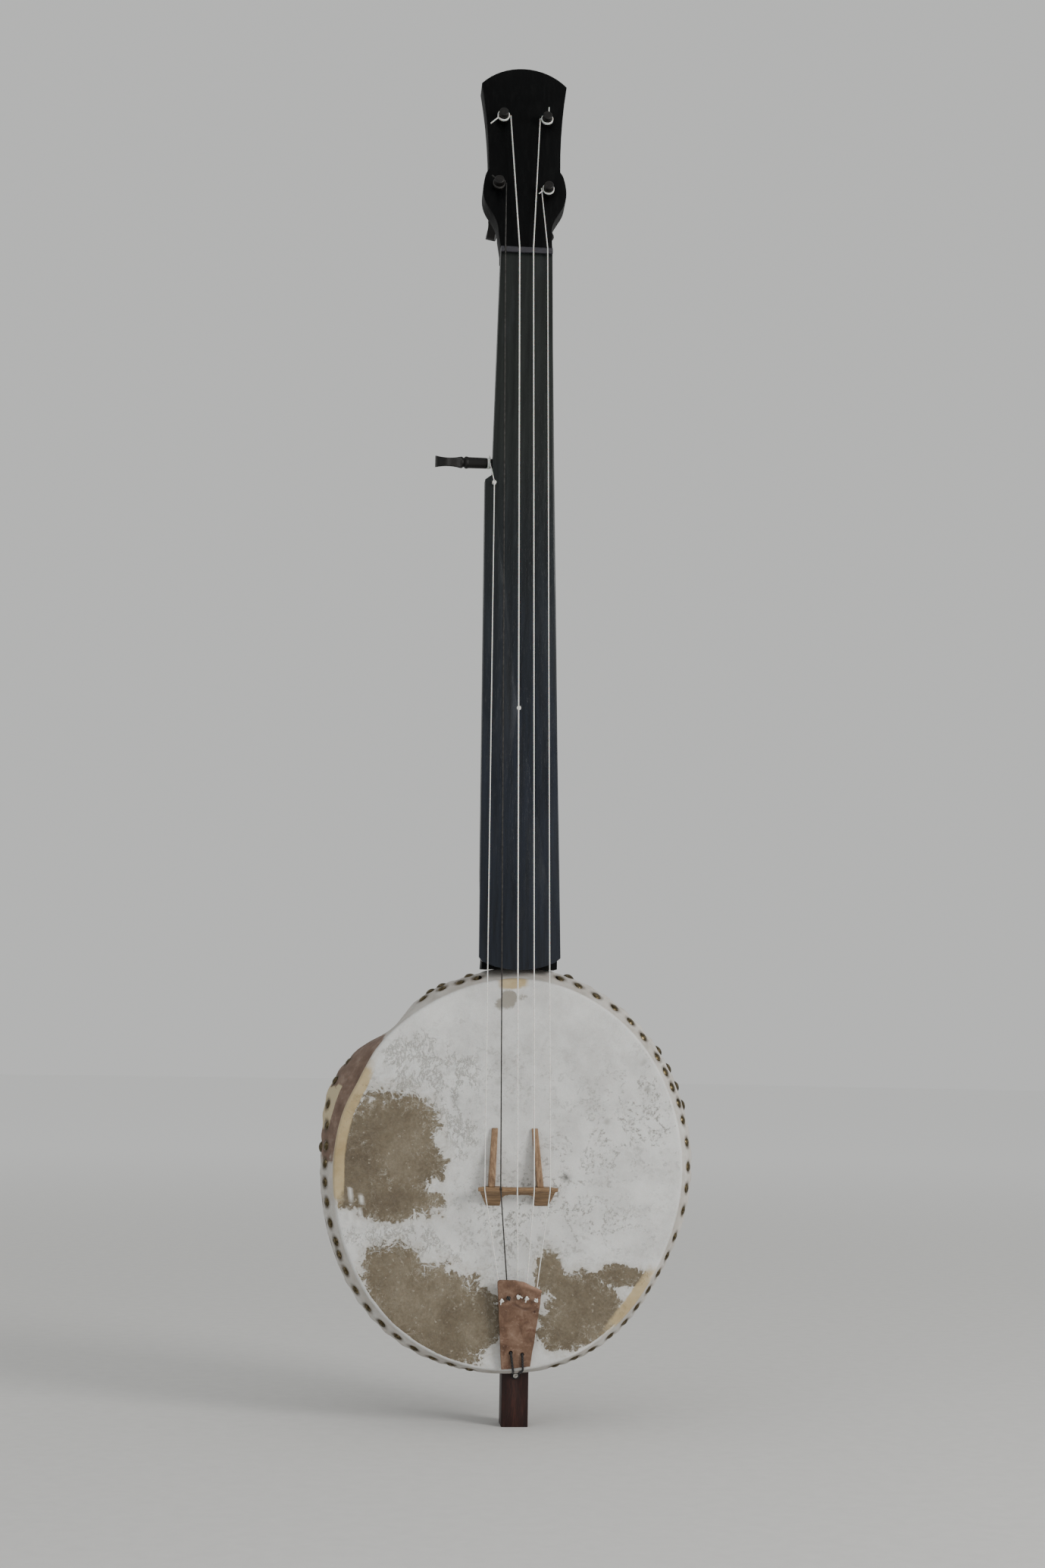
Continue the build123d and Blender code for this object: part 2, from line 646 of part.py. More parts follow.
left_hole, right_hole = CORD_HOLES
behind_y = HEAD_Y - CORD_RADIUS - 0.05
loop_y = -DOWEL_DEPTH / 2 - CORD_RADIUS - 0.05
loop_reach = 0.9 + CORD_RADIUS + 0.15
cord_points = [
    (-0.3, behind_y, TAIL_FOOT[2] + 10.0),
    (left_hole[0], behind_y, TAIL_FOOT[2] + left_hole[1]),
    cord_on_face(*left_hole),
    cord_on_face(-3.3, -1.2),
    (-2.8, -25.8, 38.4),
    (-2.3, -18.0, 36.6),
    (-2.1, loop_y, TAIL_SCREW_Z + 2.0),
    (-1.9, loop_y, TAIL_SCREW_Z - loop_reach),
    (1.9, loop_y, TAIL_SCREW_Z - loop_reach),
    (2.1, loop_y, TAIL_SCREW_Z + 2.0),
    (2.3, -18.0, 36.6),
    (2.8, -25.8, 38.4),
    cord_on_face(3.2, -0.6),
    cord_on_face(*right_hole),
    (right_hole[0], behind_y, TAIL_FOOT[2] + right_hole[1]),
    (0.3, behind_y, TAIL_FOOT[2] + 10.0),
]
cord_radii = [1.0, 1.0, 1.6, 3.0, 2.0, 1.6, 1.6, 1.6, 1.6, 2.0, 3.0, 1.6, 1.0, 1.0]
with BuildPart() as tail_cord:
    add(string_tube(cord_points, cord_radii, CORD_RADIUS))
save(tail_cord, "tail_cord")

screw_plane = Plane((0, -DOWEL_DEPTH / 2, TAIL_SCREW_Z), x_dir=(1, 0, 0), z_dir=(0, -1, 0))
with BuildPart(screw_plane) as tail_screw:
    with Locations((0, 0, -TAIL_SCREW_LENGTH)):
        shank = TAIL_SCREW_LENGTH + 2 * CORD_RADIUS + 0.3
        Cylinder(0.85, shank, align=(Align.CENTER, Align.CENTER, Align.MIN))
    with Locations((0, 0, 2 * CORD_RADIUS + 0.2)):
        Cylinder(1.7, 1.0, align=(Align.CENTER, Align.CENTER, Align.MIN))
    fillet(tail_screw.faces().sort_by(Axis.Y)[0].edges(), 0.6)
save(tail_screw, "tail_screw")

# ---- tuning pegs: post in front, tapered shaft, ring and thumb piece behind ----


def peg_at(place, wood, behind, post, post_radius):
    """Friction peg; its axis leaves the wood's front face at the place, along local Z."""
    end = -wood - behind
    neckline = end + HANDLE_LENGTH
    with BuildPart() as peg:
        with BuildSketch(Plane.XZ):
            with BuildLine():
                Polyline(
                    (0, post),
                    (post_radius - 0.6, post),
                    (post_radius, post - 0.6),
                    (post_radius, 0),
                    (SHAFT_RADIUS, -wood),
                    (SHAFT_RADIUS + 0.1, neckline + 4.8),
                    (4.3, neckline + 4.4),
                    (4.3, neckline + 2.8),
                    (3.2, neckline + 2.2),
                    (3.2, neckline + 1.6),
                    (4.2, neckline + 0.6),
                    (3.6, neckline - 2),
                    (0, neckline - 2),
                    (0, post),
                )
            make_face()
        revolve(axis=Axis.Z)
    with BuildPart() as thumb:
        with BuildSketch(Plane.XZ):
            with BuildLine():
                Spline(
                    (3.8, neckline),
                    (6.6, neckline - 5),
                    (10, neckline - 11),
                    (8.2, end + 1.6),
                    (0, end),
                    (-8.2, end + 1.6),
                    (-10, neckline - 11),
                    (-6.6, neckline - 5),
                    (-3.8, neckline),
                )
                Line((-3.8, neckline), (3.8, neckline))
            make_face()
        extrude(amount=4.2, both=True)
        with BuildSketch(Plane.YZ):
            with BuildLine():
                Spline((4.1, neckline), (3.0, neckline - 8), (4.1, end))
                Line((4.1, end), (-4.1, end))
                Spline((-4.1, end), (-3.0, neckline - 8), (-4.1, neckline))
                Line((-4.1, neckline), (4.1, neckline))
            make_face()
        extrude(amount=12, both=True, mode=Mode.INTERSECT)
    with BuildPart() as whole:
        add(peg.part)
        add(thumb.part)
    return place * whole.part


def winding_at(place, inner, radius, low, tag_angle, tag_rise, tag_length):
    """Three turns of string on the post, with the tag end standing off."""
    with BuildPart() as winding:
        with BuildSketch(Plane.XZ):
            for turn in range(3):
                with Locations((inner + radius, low + radius * (1 + 1.8 * turn))):
                    Circle(radius)
            with Locations((inner + radius / 2, low + 2.8 * radius)):
                Rectangle(radius, 3.6 * radius)
        revolve(axis=Axis.Z)
    tag_turn = math.radians(tag_angle)
    out = Vector(math.cos(tag_turn), math.sin(tag_turn), tag_rise).normalized()
    tag_foot = out * (inner + radius) + Vector(0, 0, low + 2.8 * radius)
    with BuildPart() as tag:
        with BuildSketch(Plane(tag_foot, z_dir=out)):
            Circle(radius * 0.95)
        extrude(amount=tag_length)
    with BuildPart() as whole:
        add(winding.part)
        add(tag.part)
    return place * whole.part


def turned(plane, angle):
    """The plane's location, turned about its own Z."""
    return plane.location * Rotation(0, 0, angle)


for i, (x, s) in enumerate(PEG_SPOTS):
    base = peghead_plane.from_local_coords((x, s, 0))
    place = Plane(base, x_dir=(1, 0, 0), z_dir=peghead_plane.z_dir)
    peg_place = turned(place, 90 + THUMB_TURNS[i])
    inner = POST_RADIUS + 0.01
    with BuildPart() as tuning_peg:
        add(peg_at(peg_place, PEGHEAD_THICK, PEG_BEHIND, POST_LENGTH, POST_RADIUS))
    save(tuning_peg, f"tuning_peg_{i + 1}")
    with BuildPart() as string_winding:
        tag = (TAG_TURNS[i], TAG_RISE, TAG_LENGTHS[i])
        add(winding_at(place.location, inner, STRING_RADII[i], WINDING_LOW, *tag))
    save(string_winding, f"string_winding_{i + 1}")

side_place = Plane((PEG5_X, PEG5_Y, PEG5_Z), x_dir=(0, 0, 1), z_dir=(1, 0, 0))
with BuildPart() as tuning_peg_5:
    add(peg_at(turned(side_place, PEG5_TURN), 0, PEG5_BEHIND, PEG5_POST, PEG5_POST_RADIUS))
save(tuning_peg_5, "tuning_peg_5")
with BuildPart() as string_winding_5:
    inner = PEG5_POST_RADIUS + 0.01
    add(winding_at(side_place.location, inner, STRING_RADII[4], PEG5_WINDING_LOW, *PEG5_TAG))
save(string_winding_5, "string_winding_5")
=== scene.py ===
"""Looks for a fretless gourd banjo.

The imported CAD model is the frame. Here it gets its materials, and finer meshes for the pieces
whose shape CAD keeps plain: the skin, the gourd, the tacks, the pegs, the strings' knots and turns.
Lengths are in metres; values in millimetres are multiplied by MM. -Y is the front, +Z is up.
"""
import json
import math
import random

import bmesh
import bpy
import numpy as np
from mathutils import Matrix, Vector, noise
from mathutils.bvhtree import BVHTree


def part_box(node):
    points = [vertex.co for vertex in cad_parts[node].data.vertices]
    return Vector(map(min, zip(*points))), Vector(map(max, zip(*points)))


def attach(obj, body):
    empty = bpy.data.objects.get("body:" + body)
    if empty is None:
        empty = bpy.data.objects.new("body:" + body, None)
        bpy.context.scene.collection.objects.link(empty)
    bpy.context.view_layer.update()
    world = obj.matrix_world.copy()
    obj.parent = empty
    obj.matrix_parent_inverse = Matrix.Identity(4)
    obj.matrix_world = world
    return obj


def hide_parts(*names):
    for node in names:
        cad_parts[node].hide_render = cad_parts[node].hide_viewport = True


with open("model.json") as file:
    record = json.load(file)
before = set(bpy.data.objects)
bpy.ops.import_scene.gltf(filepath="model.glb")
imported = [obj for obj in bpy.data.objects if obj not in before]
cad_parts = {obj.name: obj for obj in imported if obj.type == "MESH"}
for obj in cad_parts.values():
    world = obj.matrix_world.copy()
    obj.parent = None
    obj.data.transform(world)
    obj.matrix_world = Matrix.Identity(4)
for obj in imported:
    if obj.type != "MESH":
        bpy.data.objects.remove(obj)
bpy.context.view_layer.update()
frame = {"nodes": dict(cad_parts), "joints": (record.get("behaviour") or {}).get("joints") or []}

MM = 0.001
NODES = frame["nodes"]
JOINTS = {joint["child"]: joint for joint in frame["joints"]}
random.seed(7)


# ---- camera, floor and light ----

CAMERA_PLACE = Vector((-0.132, -1.5035, 0.254))
CAMERA_YAW, CAMERA_PITCH, CAMERA_ROLL = math.radians(5.0), math.radians(6.84), math.radians(-0.9)


def add_camera():
    """The camera looks along +Y, turned by the yaw, raised by the pitch and then rolled."""
    y, p, r = CAMERA_YAW, CAMERA_PITCH, CAMERA_ROLL
    ahead = Vector((math.sin(y) * math.cos(p), math.cos(y) * math.cos(p), math.sin(p)))
    level = Vector((math.cos(y), -math.sin(y), 0))
    upright = level.cross(ahead)
    right = level * math.cos(r) - upright * math.sin(r)
    up = level * math.sin(r) + upright * math.cos(r)
    camera = bpy.data.objects.new("camera", bpy.data.cameras.new("camera"))
    bpy.context.scene.collection.objects.link(camera)
    camera.data.lens = 50
    camera.data.sensor_width = 36
    camera.data.clip_start = 0.01
    turn = Matrix((right, up, -ahead)).transposed().to_4x4()
    camera.matrix_world = Matrix.Translation(CAMERA_PLACE) @ turn
    bpy.context.scene.camera = camera


def add_light(name, place, aim, width, watts, colour):
    """A soft square lamp at place, aimed at a point."""
    lamp = bpy.data.lights.new(name, "AREA")
    lamp.size = width
    lamp.energy = watts
    lamp.color = colour
    holder = bpy.data.objects.new(name, lamp)
    bpy.context.scene.collection.objects.link(holder)
    holder.location = place
    holder.rotation_euler = (Vector(aim) - Vector(place)).to_track_quat("-Z", "Y").to_euler()


add_camera()
add_light("key", (1.7, -1.5, 1.0), (0, 0, 0.35), 0.8, 36, (1.0, 0.985, 0.96))
add_light("fill", (-1.6, -1.6, 0.9), (0, 0, 0.45), 1.4, 6, (0.93, 0.96, 1.0))

world = bpy.data.worlds.new("studio")
world.use_nodes = True
world.node_tree.nodes["Background"].inputs[0].default_value = (0.62, 0.625, 0.615, 1)
bpy.context.scene.world = world


# ---- material nodes ----


class Paint:
    """One node material, with a short call for each kind of node it uses."""

    def __init__(self, name, **sockets):
        self.material = bpy.data.materials.new(name)
        self.material.use_nodes = True
        self.nodes = self.material.node_tree.nodes
        self.links = self.material.node_tree.links
        self.shader = self.nodes["Principled BSDF"]
        self.place = self.nodes.new("ShaderNodeTexCoord").outputs["Object"]
        for socket, value in sockets.items():
            self.shader.inputs[socket.replace("_", " ")].default_value = value

    def put(self, socket, value):
        """Links an output to a socket, or sets the socket to a number or a colour."""
        if isinstance(value, bpy.types.NodeSocket):
            self.links.new(value, socket)
        elif isinstance(value, tuple) and len(value) == 3 and socket.type == "RGBA":
            socket.default_value = (*value, 1)
        else:
            socket.default_value = value

    def give(self, **sockets):
        """Puts outputs on the shader's sockets."""
        for socket, value in sockets.items():
            self.put(self.shader.inputs[socket.replace("_", " ")], value)

    def stretch(self, x, y, z, place=None):
        """The place, scaled along each axis."""
        node = self.nodes.new("ShaderNodeVectorMath")
        node.operation = "MULTIPLY"
        self.put(node.inputs[0], place or self.place)
        self.put(node.inputs[1], (x, y, z))
        return node.outputs[0]

    def wander(self, amount, scale, place=None):
        """The place, pushed about by a noise, so that a pattern loses its straight edges."""
        push = self.nodes.new("ShaderNodeTexNoise")
        self.put(push.inputs["Vector"], place or self.place)
        self.put(push.inputs["Scale"], scale)
        shift = self.nodes.new("ShaderNodeVectorMath")
        shift.operation = "MULTIPLY_ADD"
        self.put(shift.inputs[0], push.outputs["Color"])
        self.put(shift.inputs[1], (amount, amount, amount))
        self.put(shift.inputs[2], place or self.place)
        return shift.outputs[0]

    def noise(self, scale, detail=4.0, roughness=0.55, place=None):
        node = self.nodes.new("ShaderNodeTexNoise")
        self.put(node.inputs["Vector"], place or self.place)
        self.put(node.inputs["Scale"], scale)
        self.put(node.inputs["Detail"], detail)
        self.put(node.inputs["Roughness"], roughness)
        return node.outputs["Fac"]

    def cells(self, scale, place=None, feature="F1"):
        node = self.nodes.new("ShaderNodeTexVoronoi")
        node.feature = feature
        self.put(node.inputs["Vector"], place or self.place)
        self.put(node.inputs["Scale"], scale)
        return node.outputs["Distance"]

    def waves(self, scale, direction="X", distortion=0.0, place=None):
        node = self.nodes.new("ShaderNodeTexWave")
        node.bands_direction = direction
        self.put(node.inputs["Vector"], place or self.place)
        self.put(node.inputs["Scale"], scale)
        self.put(node.inputs["Distortion"], distortion)
        return node.outputs["Fac"]

    def read(self, attribute):
        """A number written on the mesh by set_attribute."""
        node = self.nodes.new("ShaderNodeAttribute")
        node.attribute_name = attribute
        return node.outputs["Fac"]

    def calc(self, operation, a, b=0.0):
        node = self.nodes.new("ShaderNodeMath")
        node.operation = operation
        self.put(node.inputs[0], a)
        self.put(node.inputs[1], b)
        return node.outputs[0]

    def step(self, value, low, high, start=0.0, end=1.0):
        """start below low, end above high, and a smooth climb in between."""
        node = self.nodes.new("ShaderNodeMapRange")
        node.interpolation_type = "SMOOTHSTEP"
        for i, number in enumerate((value, low, high, start, end)):
            self.put(node.inputs[i], number)
        return node.outputs[0]

    def ramp(self, value, *stops):
        node = self.nodes.new("ShaderNodeValToRGB")
        elements = node.color_ramp.elements
        while len(elements) < len(stops):
            elements.new(0.5)
        for element, (position, colour) in zip(elements, stops):
            element.position = position
            element.color = (*colour, 1)
        self.put(node.inputs[0], value)
        return node.outputs[0]

    def blend(self, amount, a, b, mode="MIX"):
        node = self.nodes.new("ShaderNodeMix")
        node.data_type = "RGBA"
        node.blend_type = mode
        self.put(node.inputs[0], amount)
        self.put(node.inputs[6], a)
        self.put(node.inputs[7], b)
        return node.outputs[2]

    def bump(self, height, distance, under=None):
        """Raises the surface by height times distance, on top of the bump under it."""
        node = self.nodes.new("ShaderNodeBump")
        self.put(node.inputs["Height"], height)
        self.put(node.inputs["Distance"], distance)
        if under:
            self.put(node.inputs["Normal"], under)
        self.put(self.shader.inputs["Normal"], node.outputs[0])
        return node.outputs[0]


# ---- materials ----


def paint_skin():
    """Limed goatskin: chalky white clouds over thin olive-tan skin, cream at the rim."""
    p = Paint("goatskin", Subsurface_Weight=0.04, Subsurface_Scale=0.003)
    drift = p.wander(0.011, 60)
    torn = p.noise(78, 13, 0.78, drift)
    crackle = p.cells(150, drift, "DISTANCE_TO_EDGE")
    thin = p.calc("ADD", p.read("thin"), p.calc("MULTIPLY", p.calc("SUBTRACT", torn, 0.5), 3.6))
    thin = p.calc("ADD", thin, p.calc("MULTIPLY", p.step(crackle, 0.0, 0.16), 0.22))
    patch = p.step(thin, 0.02, 0.16)
    haze = p.calc("MULTIPLY", p.step(thin, -0.8, 0.05), 0.36)

    cloud = p.ramp(
        p.noise(34, 9, 0.66, drift),
        (0.3, (0.53, 0.525, 0.51)),
        (0.5, (0.67, 0.67, 0.655)),
        (0.66, (0.755, 0.755, 0.74)),
    )
    grain = p.ramp(p.noise(900, 4, 0.6), (0.3, (0.92, 0.91, 0.9)), (0.65, (1.0, 1.0, 1.0)))
    chalk = p.blend(1.0, cloud, grain, "MULTIPLY")
    chalk = p.blend(haze, chalk, (0.36, 0.32, 0.25))

    ragged = p.calc("SUBTRACT", p.noise(48, 7, 0.72, drift), 0.5)
    cracked = p.calc("ADD", p.read("crackled"), p.calc("MULTIPLY", ragged, 2.6))
    slanted = p.stretch(1.0, 1.0, 0.6, drift)
    lace_line = p.calc("ABSOLUTE", p.calc("SUBTRACT", p.noise(85, 11, 0.8, slanted), 0.5))
    lace = p.step(lace_line, 0.0, 0.034, 1.0, 0.0)
    lace = p.calc("MULTIPLY", lace, p.step(cracked, 0.3, 0.75))
    vein_line = p.calc("ABSOLUTE", p.calc("SUBTRACT", p.noise(42, 8, 0.7, drift), 0.5))
    fleck = p.step(p.noise(380, 6, 0.72), 0.45, 0.58)
    veins = p.step(vein_line, 0.0, 0.038, 1.0, 0.0)
    veins = p.calc("MULTIPLY", veins, p.calc("MULTIPLY", p.read("veined"), fleck))
    smudge = p.calc("MULTIPLY", p.step(p.noise(75, 6, 0.7, drift), 0.56, 0.7), p.read("veined"))
    spots = p.calc("MULTIPLY", p.step(p.cells(60, drift), 0.03, 0.2, 1.0, 0.0), p.read("veined"))
    dirt = p.calc("MAXIMUM", p.calc("MULTIPLY", veins, 0.85), p.calc("MULTIPLY", spots, 0.55))
    dirt = p.calc("MAXIMUM", dirt, p.calc("MULTIPLY", smudge, 0.5))
    dirt = p.calc("MAXIMUM", dirt, p.calc("MULTIPLY", lace, 0.85))
    chalk = p.blend(dirt, chalk, (0.185, 0.175, 0.15))
    chalk = p.blend(p.calc("MULTIPLY", p.read("spot"), p.step(torn, 0.35, 0.6)), chalk, (0.13, 0.13, 0.12))

    tan = p.ramp(
        p.noise(28, 9, 0.66, drift),
        (0.3, (0.100, 0.075, 0.045)),
        (0.5, (0.145, 0.115, 0.073)),
        (0.7, (0.215, 0.18, 0.125)),
    )
    speck = p.step(p.noise(650, 4, 0.7), 0.3, 0.7)
    tan = p.blend(1.0, tan, p.ramp(speck, (0.0, (0.8, 0.79, 0.76)), (1.0, (1.12, 1.12, 1.12))), "MULTIPLY")
    fine = p.calc("ABSOLUTE", p.calc("SUBTRACT", p.noise(120, 10, 0.78, drift), 0.5))
    threads = p.calc("MULTIPLY", p.step(fine, 0.0, 0.022, 1.0, 0.0), p.step(thin, 0.75, 0.1, 0.1, 0.75))
    tan = p.blend(threads, tan, (0.48, 0.45, 0.38))
    pale_fleck = p.calc("MULTIPLY", p.step(p.noise(300, 6, 0.72), 0.6, 0.67), 0.5)
    tan = p.blend(pale_fleck, tan, (0.46, 0.42, 0.34))
    colour = p.blend(patch, chalk, tan)
    top = p.calc("ADD", p.read("top_stain"), p.calc("MULTIPLY", p.calc("SUBTRACT", torn, 0.5), 1.6))
    colour = p.blend(p.step(top, 0.4, 0.62, 0.0, 0.85), colour, (0.25, 0.225, 0.18))

    butter_edge = p.calc("MULTIPLY", p.calc("SUBTRACT", p.noise(120, 6, 0.65), 0.5), 0.7)
    butter_edge = p.calc("ADD", p.read("butter"), butter_edge)
    butter = p.ramp(p.noise(55, 7, 0.62), (0.3, (0.38, 0.28, 0.135)), (0.7, (0.55, 0.44, 0.255)))
    colour = p.blend(p.step(butter_edge, 0.3, 0.7, 0.0, 0.95), colour, butter)
    # painted shade and dirt: the skirt down the gourd's side is darkened to a dirty grey-beige, partly to
    # stand for the shade on the side turned from the light
    side = p.ramp(p.noise(60, 7, 0.66), (0.3, (0.33, 0.30, 0.26)), (0.65, (0.52, 0.49, 0.45)))
    side_shade_and_dirt = p.calc("MULTIPLY", p.read("side"), p.step(p.noise(40, 6, 0.65), 0.25, 0.6, 0.35, 0.9))
    colour = p.blend(side_shade_and_dirt, colour, side)
    # painted shade: the left skirt turns a dark purplish brown, the skin's own colour darkened further to
    # stand for the shade on that side
    shaded_mauve = p.ramp(
        p.noise(85, 9, 0.68),
        (0.3, (0.11, 0.068, 0.048)),
        (0.52, (0.175, 0.115, 0.085)),
        (0.75, (0.30, 0.225, 0.175)),
    )
    shaded_mauve_edge = p.calc("ADD", p.read("shaded_mauve"), p.calc("SUBTRACT", p.noise(90, 7, 0.65), 0.5))
    colour = p.blend(p.step(shaded_mauve_edge, 0.42, 0.62), colour, shaded_mauve)
    cream_edge = p.calc("ADD", p.read("cream"), p.calc("SUBTRACT", p.noise(100, 6, 0.65), 0.5))
    colour = p.blend(p.step(cream_edge, 0.45, 0.55), colour, (0.50, 0.42, 0.27))
    # painted shade: a dark brown ring on the skirt round each tack head
    colour = p.blend(p.calc("MULTIPLY", p.read("stain_and_shade"), 0.8), colour, (0.07, 0.052, 0.033))
    colour = p.blend(p.read("scratch"), colour, (0.70, 0.69, 0.66))

    relief = p.bump(p.noise(700, 5, 0.65), 0.00006)
    relief = p.bump(p.cells(1500), 0.00003, relief)
    p.bump(p.calc("SUBTRACT", 1.0, patch), 0.0001, relief)
    rough = p.step(patch, 0.0, 1.0, 0.78, 0.5)
    p.give(Base_Color=colour, Roughness=p.calc("ADD", rough, p.calc("MULTIPLY", p.noise(160, 4), 0.1)))
    return p.material


def paint_gourd():
    """Dried gourd, stained dark brown, with blotches, paler streaks and a waxed sheen."""
    p = Paint("gourd_rind", Coat_Weight=0.25, Coat_Roughness=0.28)
    drift = p.wander(0.02, 22)
    cloud = p.ramp(
        p.noise(14, 9, 0.62, drift),
        (0.3, (0.018, 0.010, 0.006)),
        (0.47, (0.048, 0.025, 0.013)),
        (0.6, (0.095, 0.052, 0.025)),
        (0.75, (0.17, 0.10, 0.05)),
    )
    streak = p.noise(60, 7, 0.65, p.stretch(1.0, 0.25, 1.0, drift))
    colour = p.blend(p.step(streak, 0.56, 0.72, 0.0, 0.4), cloud, (0.20, 0.125, 0.062))
    blotch = p.step(p.noise(36, 10, 0.72, drift), 0.6, 0.68, 0.0, 0.7)
    colour = p.blend(blotch, colour, (0.016, 0.009, 0.006))
    pits = p.step(p.cells(420), 0.02, 0.22, 1.0, 0.0)
    colour = p.blend(p.calc("MULTIPLY", pits, 0.55), colour, (0.012, 0.008, 0.005))
    colour = p.blend(p.read("scar"), colour, (0.13, 0.09, 0.055))
    relief = p.bump(p.noise(240, 7, 0.6), 0.00012)
    p.bump(p.calc("SUBTRACT", 1.0, pits), 0.00015, relief)
    p.give(Base_Color=colour, Roughness=p.step(p.noise(50, 6), 0.3, 0.7, 0.34, 0.58))
    return p.material


def paint_wood(name, dark, middle, light, along, grain=1.0, rough=(0.38, 0.58), **sockets):
    """Wood with its grain along one axis: long streaks, growth lines, pores and rubbed spots."""
    p = Paint(name, **sockets)
    squeeze = {"X": (0.06, 1.0, 1.0), "Y": (1.0, 0.06, 1.0), "Z": (1.0, 1.0, 0.06)}[along]
    drift = p.stretch(*squeeze, p.wander(0.006, 30))
    rings = p.noise(420 * grain, 6, 0.62, drift)
    fibres = p.noise(2400 * grain, 3, 0.6, drift)
    tone = p.calc("ADD", p.calc("MULTIPLY", rings, 0.72), p.calc("MULTIPLY", fibres, 0.28))
    colour = p.ramp(tone, (0.34, dark), (0.5, middle), (0.66, light))
    pores = p.step(p.noise(3600 * grain, 2, 0.5, drift), 0.62, 0.7)
    colour = p.blend(p.calc("MULTIPLY", pores, 0.6), colour, tuple(0.45 * c for c in dark))
    broad = p.noise(26, 5, 0.6)
    colour = p.blend(p.step(broad, 0.45, 0.75, 0.0, 0.35), colour, middle)
    relief = p.bump(tone, 0.00005)
    p.bump(p.calc("SUBTRACT", 1.0, pores), 0.00004, relief)
    smudge = p.calc("ADD", p.calc("MULTIPLY", broad, 0.6), p.calc("MULTIPLY", rings, 0.4))
    p.give(Base_Color=colour, Roughness=p.step(smudge, 0.35, 0.65, *rough))
    return p


def paint_black_wood():
    """Blackened satin wood with faint grain and paler rubbed places."""
    p = paint_wood(
        "black_wood", (0.0007, 0.0008, 0.0009), (0.0014, 0.0016, 0.0018), (0.0038, 0.0040, 0.0040),
        "Z", 0.8, (0.46, 0.66), Specular_IOR_Level=0.08,
    )
    return p.material


def paint_board():
    """Fingerboard: the same black wood, with a painted reflection that makes it greyer at the nut and
    blue-black towards the head.
    """
    p = Paint("fingerboard_wood", Specular_IOR_Level=0.3, Coat_Weight=0.04, Coat_Roughness=0.4)
    drift = p.stretch(1.0, 1.0, 0.04, p.wander(0.004, 24))
    grain = p.noise(380, 7, 0.65, drift)
    height = p.nodes.new("ShaderNodeSeparateXYZ")
    p.put(height.inputs[0], p.place)
    # painted reflection: the black runs from blue-black near the head to grey-green near the nut, standing
    # for the sky's reflection in the finish
    along = p.calc("ADD", height.outputs["Z"], p.calc("MULTIPLY", p.noise(12, 3), 0.12))
    low = p.ramp(grain, (0.35, (0.004, 0.006, 0.0105)), (0.65, (0.0105, 0.015, 0.026)))
    high = p.ramp(grain, (0.35, (0.005, 0.0068, 0.006)), (0.65, (0.013, 0.0165, 0.0145)))
    colour = p.blend(p.step(along, 0.48, 0.78), low, high)
    pores = p.step(p.noise(2600, 2, 0.5, drift), 0.6, 0.7)
    colour = p.blend(p.calc("MULTIPLY", pores, 0.5), colour, (0.002, 0.0025, 0.003))
    wear = p.calc("MULTIPLY", p.step(p.noise(60, 6, 0.65, p.stretch(1, 1, 0.3)), 0.55, 0.72), 0.35)
    colour = p.blend(wear, colour, (0.024, 0.028, 0.032))
    relief = p.bump(grain, 0.00005)
    p.bump(p.calc("SUBTRACT", 1.0, pores), 0.00003, relief)
    smudge = p.noise(40, 6, 0.6, p.stretch(1, 1, 0.35))
    p.give(Base_Color=colour, Roughness=p.step(smudge, 0.35, 0.68, 0.3, 0.5))
    return p.material


def paint_tailpiece():
    """Worn pinkish-brown wood or leather with dark stains, paler along its upper edge and with painted shade
    in a crease.
    """
    p = Paint("tailpiece", Specular_IOR_Level=0.4)
    drift = p.wander(0.006, 90)
    colour = p.ramp(
        p.noise(130, 8, 0.66, drift),
        (0.3, (0.072, 0.035, 0.020)),
        (0.47, (0.145, 0.079, 0.048)),
        (0.6, (0.205, 0.124, 0.082)),
        (0.76, (0.30, 0.20, 0.148)),
    )
    stain_and_shade = p.step(p.noise(75, 9, 0.7, p.stretch(0.6, 1, 1.3, drift)), 0.55, 0.64, 0.0, 0.75)
    colour = p.blend(stain_and_shade, colour, (0.095, 0.036, 0.02))
    fleck = p.step(p.noise(600, 5, 0.7), 0.58, 0.68, 0.0, 0.45)
    colour = p.blend(fleck, colour, (0.42, 0.29, 0.22))
    # paler along the upper right edge
    colour = p.blend(p.calc("MULTIPLY", p.read("edge"), 0.7), colour, (0.44, 0.27, 0.19))
    # painted shade: the pressed crease is darkened nearly black, and a small dark dot is added
    colour = p.blend(p.read("crease_shade_and_dot"), colour, (0.05, 0.02, 0.012))
    relief = p.bump(p.noise(500, 7, 0.66), 0.00012)
    p.bump(p.noise(90, 5, 0.6), 0.0003, relief)
    p.give(Base_Color=colour, Roughness=p.step(p.noise(200, 5), 0.3, 0.7, 0.45, 0.7))
    return p.material


def paint_brass():
    """Antique brass: rubbed bright on the crown, brown in the low places."""
    p = Paint("antique_brass", Metallic=1.0)
    tarnish = p.noise(520, 7, 0.68)
    colour = p.ramp(
        tarnish, (0.32, (0.03, 0.023, 0.012)), (0.52, (0.10, 0.077, 0.04)), (0.72, (0.33, 0.265, 0.15))
    )
    colour = p.blend(p.read("crown"), (0.03, 0.023, 0.013), colour)
    p.bump(p.noise(900, 5, 0.6), 0.00006)
    p.give(Base_Color=colour, Roughness=p.step(tarnish, 0.35, 0.7, 0.42, 0.2))
    return p.material


